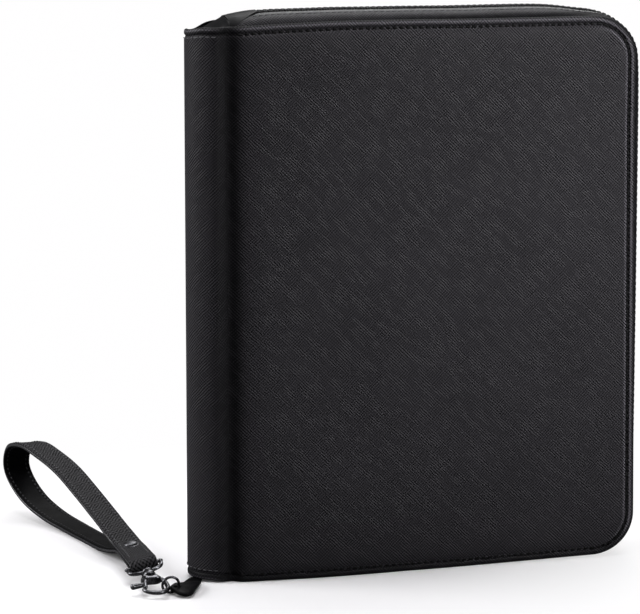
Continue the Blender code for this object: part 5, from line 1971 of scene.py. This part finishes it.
@dataclass
class Studio:
    """Pale floor, soft lamps and the camera."""

    aim: tuple = (-0.05030, 0.0, 0.149626)
    eye: tuple = (-0.62299, -2.238942, 0.652197)
    focal_pixels: float = 4274.429
    room_light: float = 0.10
    shadow_middle: tuple = (-0.09, 0.03, 0.0)
    shadow_reach: tuple = (0.11, 0.26)
    shadow_least: float = 0.04
    floor_half: float = 6.0
    floor_lit: tuple = (0.16, 0.16, 0.165)
    floor_seen: tuple = (0.93, 0.92, 0.94)
    frame_width: float = 640.0
    sensor: float = 36.0
    clip: tuple = (0.05, 50.0)
    white: tuple = (1.0, 0.995, 1.0, 1.0)
    lamps: tuple = (
        Lamp("key_panel", (0.66, -0.85, 0.50), (0.12, 0.0, 0.232), (0.35, 0.35), 0.70, 42.0),
        Lamp("left_panel", (-1.30, 0.32, 0.70), (-0.10, 0.0, 0.16), (0.6, 0.9), 16.0),
        Lamp("top_panel", (0.0, 0.02, 1.50), (0.0, 0.0, 0.10), (1.3, 1.3), 18.0),
        Lamp("rear_panel", (0.45, 1.15, 1.30), (0.0, 0.0, 0.16), (0.9, 0.9), 12.0),
    )

    def build(self) -> None:
        """Set up the floor, the lamps, the world and the camera."""
        self.floor()
        for lamp in self.lamps:
            self.light(lamp)
        self.world()
        camera = bpy.data.cameras.new("photo_view")
        camera.sensor_fit = "HORIZONTAL"
        camera.sensor_width = self.sensor
        camera.lens = self.sensor * self.focal_pixels / self.frame_width
        camera.clip_start, camera.clip_end = self.clip
        holder = bpy.data.objects.new("photo_view", camera)
        bpy.context.scene.collection.objects.link(holder)
        self.look(holder, self.eye, self.aim)
        bpy.context.scene.camera = holder
        bpy.context.scene.view_settings.view_transform = "Standard"

    def look(self, item: bpy.types.Object, eye: tuple, aim: tuple) -> None:
        """Put a lamp or camera at a point, facing another."""
        way = np.array(aim) - np.array(eye)
        item.location = eye
        item.rotation_mode = "XYZ"
        level = math.hypot(way[0], way[1])
        item.rotation_euler = (math.atan2(level, -way[2]), 0.0, math.atan2(-way[0], way[1]))

    def light(self, lamp: Lamp) -> None:
        """Add one lamp, which the camera doesn't see."""
        light = bpy.data.lights.new(lamp.name, "AREA")
        light.shape = "RECTANGLE"
        light.size, light.size_y = lamp.size
        light.energy = lamp.power
        light.spread = math.radians(lamp.spread)
        item = bpy.data.objects.new(lamp.name, light)
        item.visible_camera = False
        bpy.context.scene.collection.objects.link(item)
        self.look(item, lamp.eye, lamp.aim)

    def floor(self) -> None:
        """Lay a wide pale floor that turns white away from the case and keeps its shadow."""
        reach = np.linspace(-self.floor_half, self.floor_half, 5)
        x, y = np.meshgrid(reach, reach)
        points = stacked(x, y, 0.0).reshape(-1, 3)
        mesh = bpy.data.meshes.new("studio_floor")
        mesh.from_pydata(points.tolist(), [], grid_quads(5, 5).tolist())
        shader = Shader("studio_floor")
        shader.set(roughness=0.9, specular_IOR_level=0.0)
        ray = shader.add("ShaderNodeLightPath")
        seen = shader.math("ADD", ray.outputs["Is Camera Ray"], ray.outputs["Is Transmission Ray"])
        colour = shader.colour(seen, [(0.0, self.floor_lit), (1.0, self.floor_seen)])
        shader.link(colour, shader.principled.inputs["Base Color"])
        length = shader.add("ShaderNodeVectorMath", operation="DISTANCE")
        shader.link(shader.coordinates(False), length.inputs[0])
        length.inputs[1].default_value = self.shadow_middle
        far = shader.spread(length.outputs["Value"], *self.shadow_reach, self.shadow_least, 1.0)
        share = shader.math("MULTIPLY", far, shader.math("MINIMUM", seen, 1.0))
        white = shader.add("ShaderNodeEmission")
        white.inputs["Color"].default_value = self.white
        mix = shader.add("ShaderNodeMixShader")
        shader.link(share, mix.inputs["Fac"])
        shader.link(shader.principled.outputs["BSDF"], mix.inputs[1])
        shader.link(white.outputs["Emission"], mix.inputs[2])
        shader.link(mix.outputs["Shader"], shader.tree.nodes["Material Output"].inputs["Surface"])
        mesh.materials.append(shader.material)
        floor = bpy.data.objects.new("studio_floor", mesh)
        bpy.context.scene.collection.objects.link(floor)

    def world(self) -> None:
        """Light the room evenly, and show white where nothing stands."""
        world = bpy.data.worlds.new("studio")
        bpy.context.scene.world = world
        world.use_nodes = True
        nodes = world.node_tree.nodes
        back = nodes["Background"]
        back.inputs["Color"].default_value = self.white
        ray = nodes.new("ShaderNodeLightPath")
        level = nodes.new("ShaderNodeMapRange")
        level.inputs["To Min"].default_value = self.room_light
        world.node_tree.links.new(ray.outputs["Is Camera Ray"], level.inputs["Value"])
        world.node_tree.links.new(level.outputs["Result"], back.inputs["Strength"])


def dress_solids(finishes: Finishes) -> None:
    """Give the CAD nodes that stay in the scene a finish of their own."""
    looks = {name: finishes.board for name in ("front_board", "back_board")}
    stops = [f"zip_stop_{end}_{side.word}" for end in ("upper", "lower") for side in Side]
    looks.update({name: finishes.metal for name in ["zip_slider", "zip_pull", "gate_pin"] + stops})
    for name, material in looks.items():
        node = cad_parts[name]
        if not node.material_slots:
            node.data.materials.append(material)
        for slot in node.material_slots:
            slot.material = material
        LOG.info("%s: finished with %s", name, material.name)


def main() -> None:
    """Build every sub-assembly in order."""
    logging.basicConfig(level=logging.INFO, format="%(name)s %(message)s")
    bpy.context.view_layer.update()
    finishes = Finishes()
    Studio().build()
    for side in Side:
        CoverSkin(side).build(finishes)
        ZipTape(side).build(finishes)
    SpineEnds().build(finishes)
    Inside().build(finishes)
    hook = HookFrame()
    WristStrap(hook).build(finishes)
    SnapHook(hook).build(finishes)
    AnchorTab(hook).build(finishes)
    dress_solids(finishes)


if __name__ == "__main__":
    main()
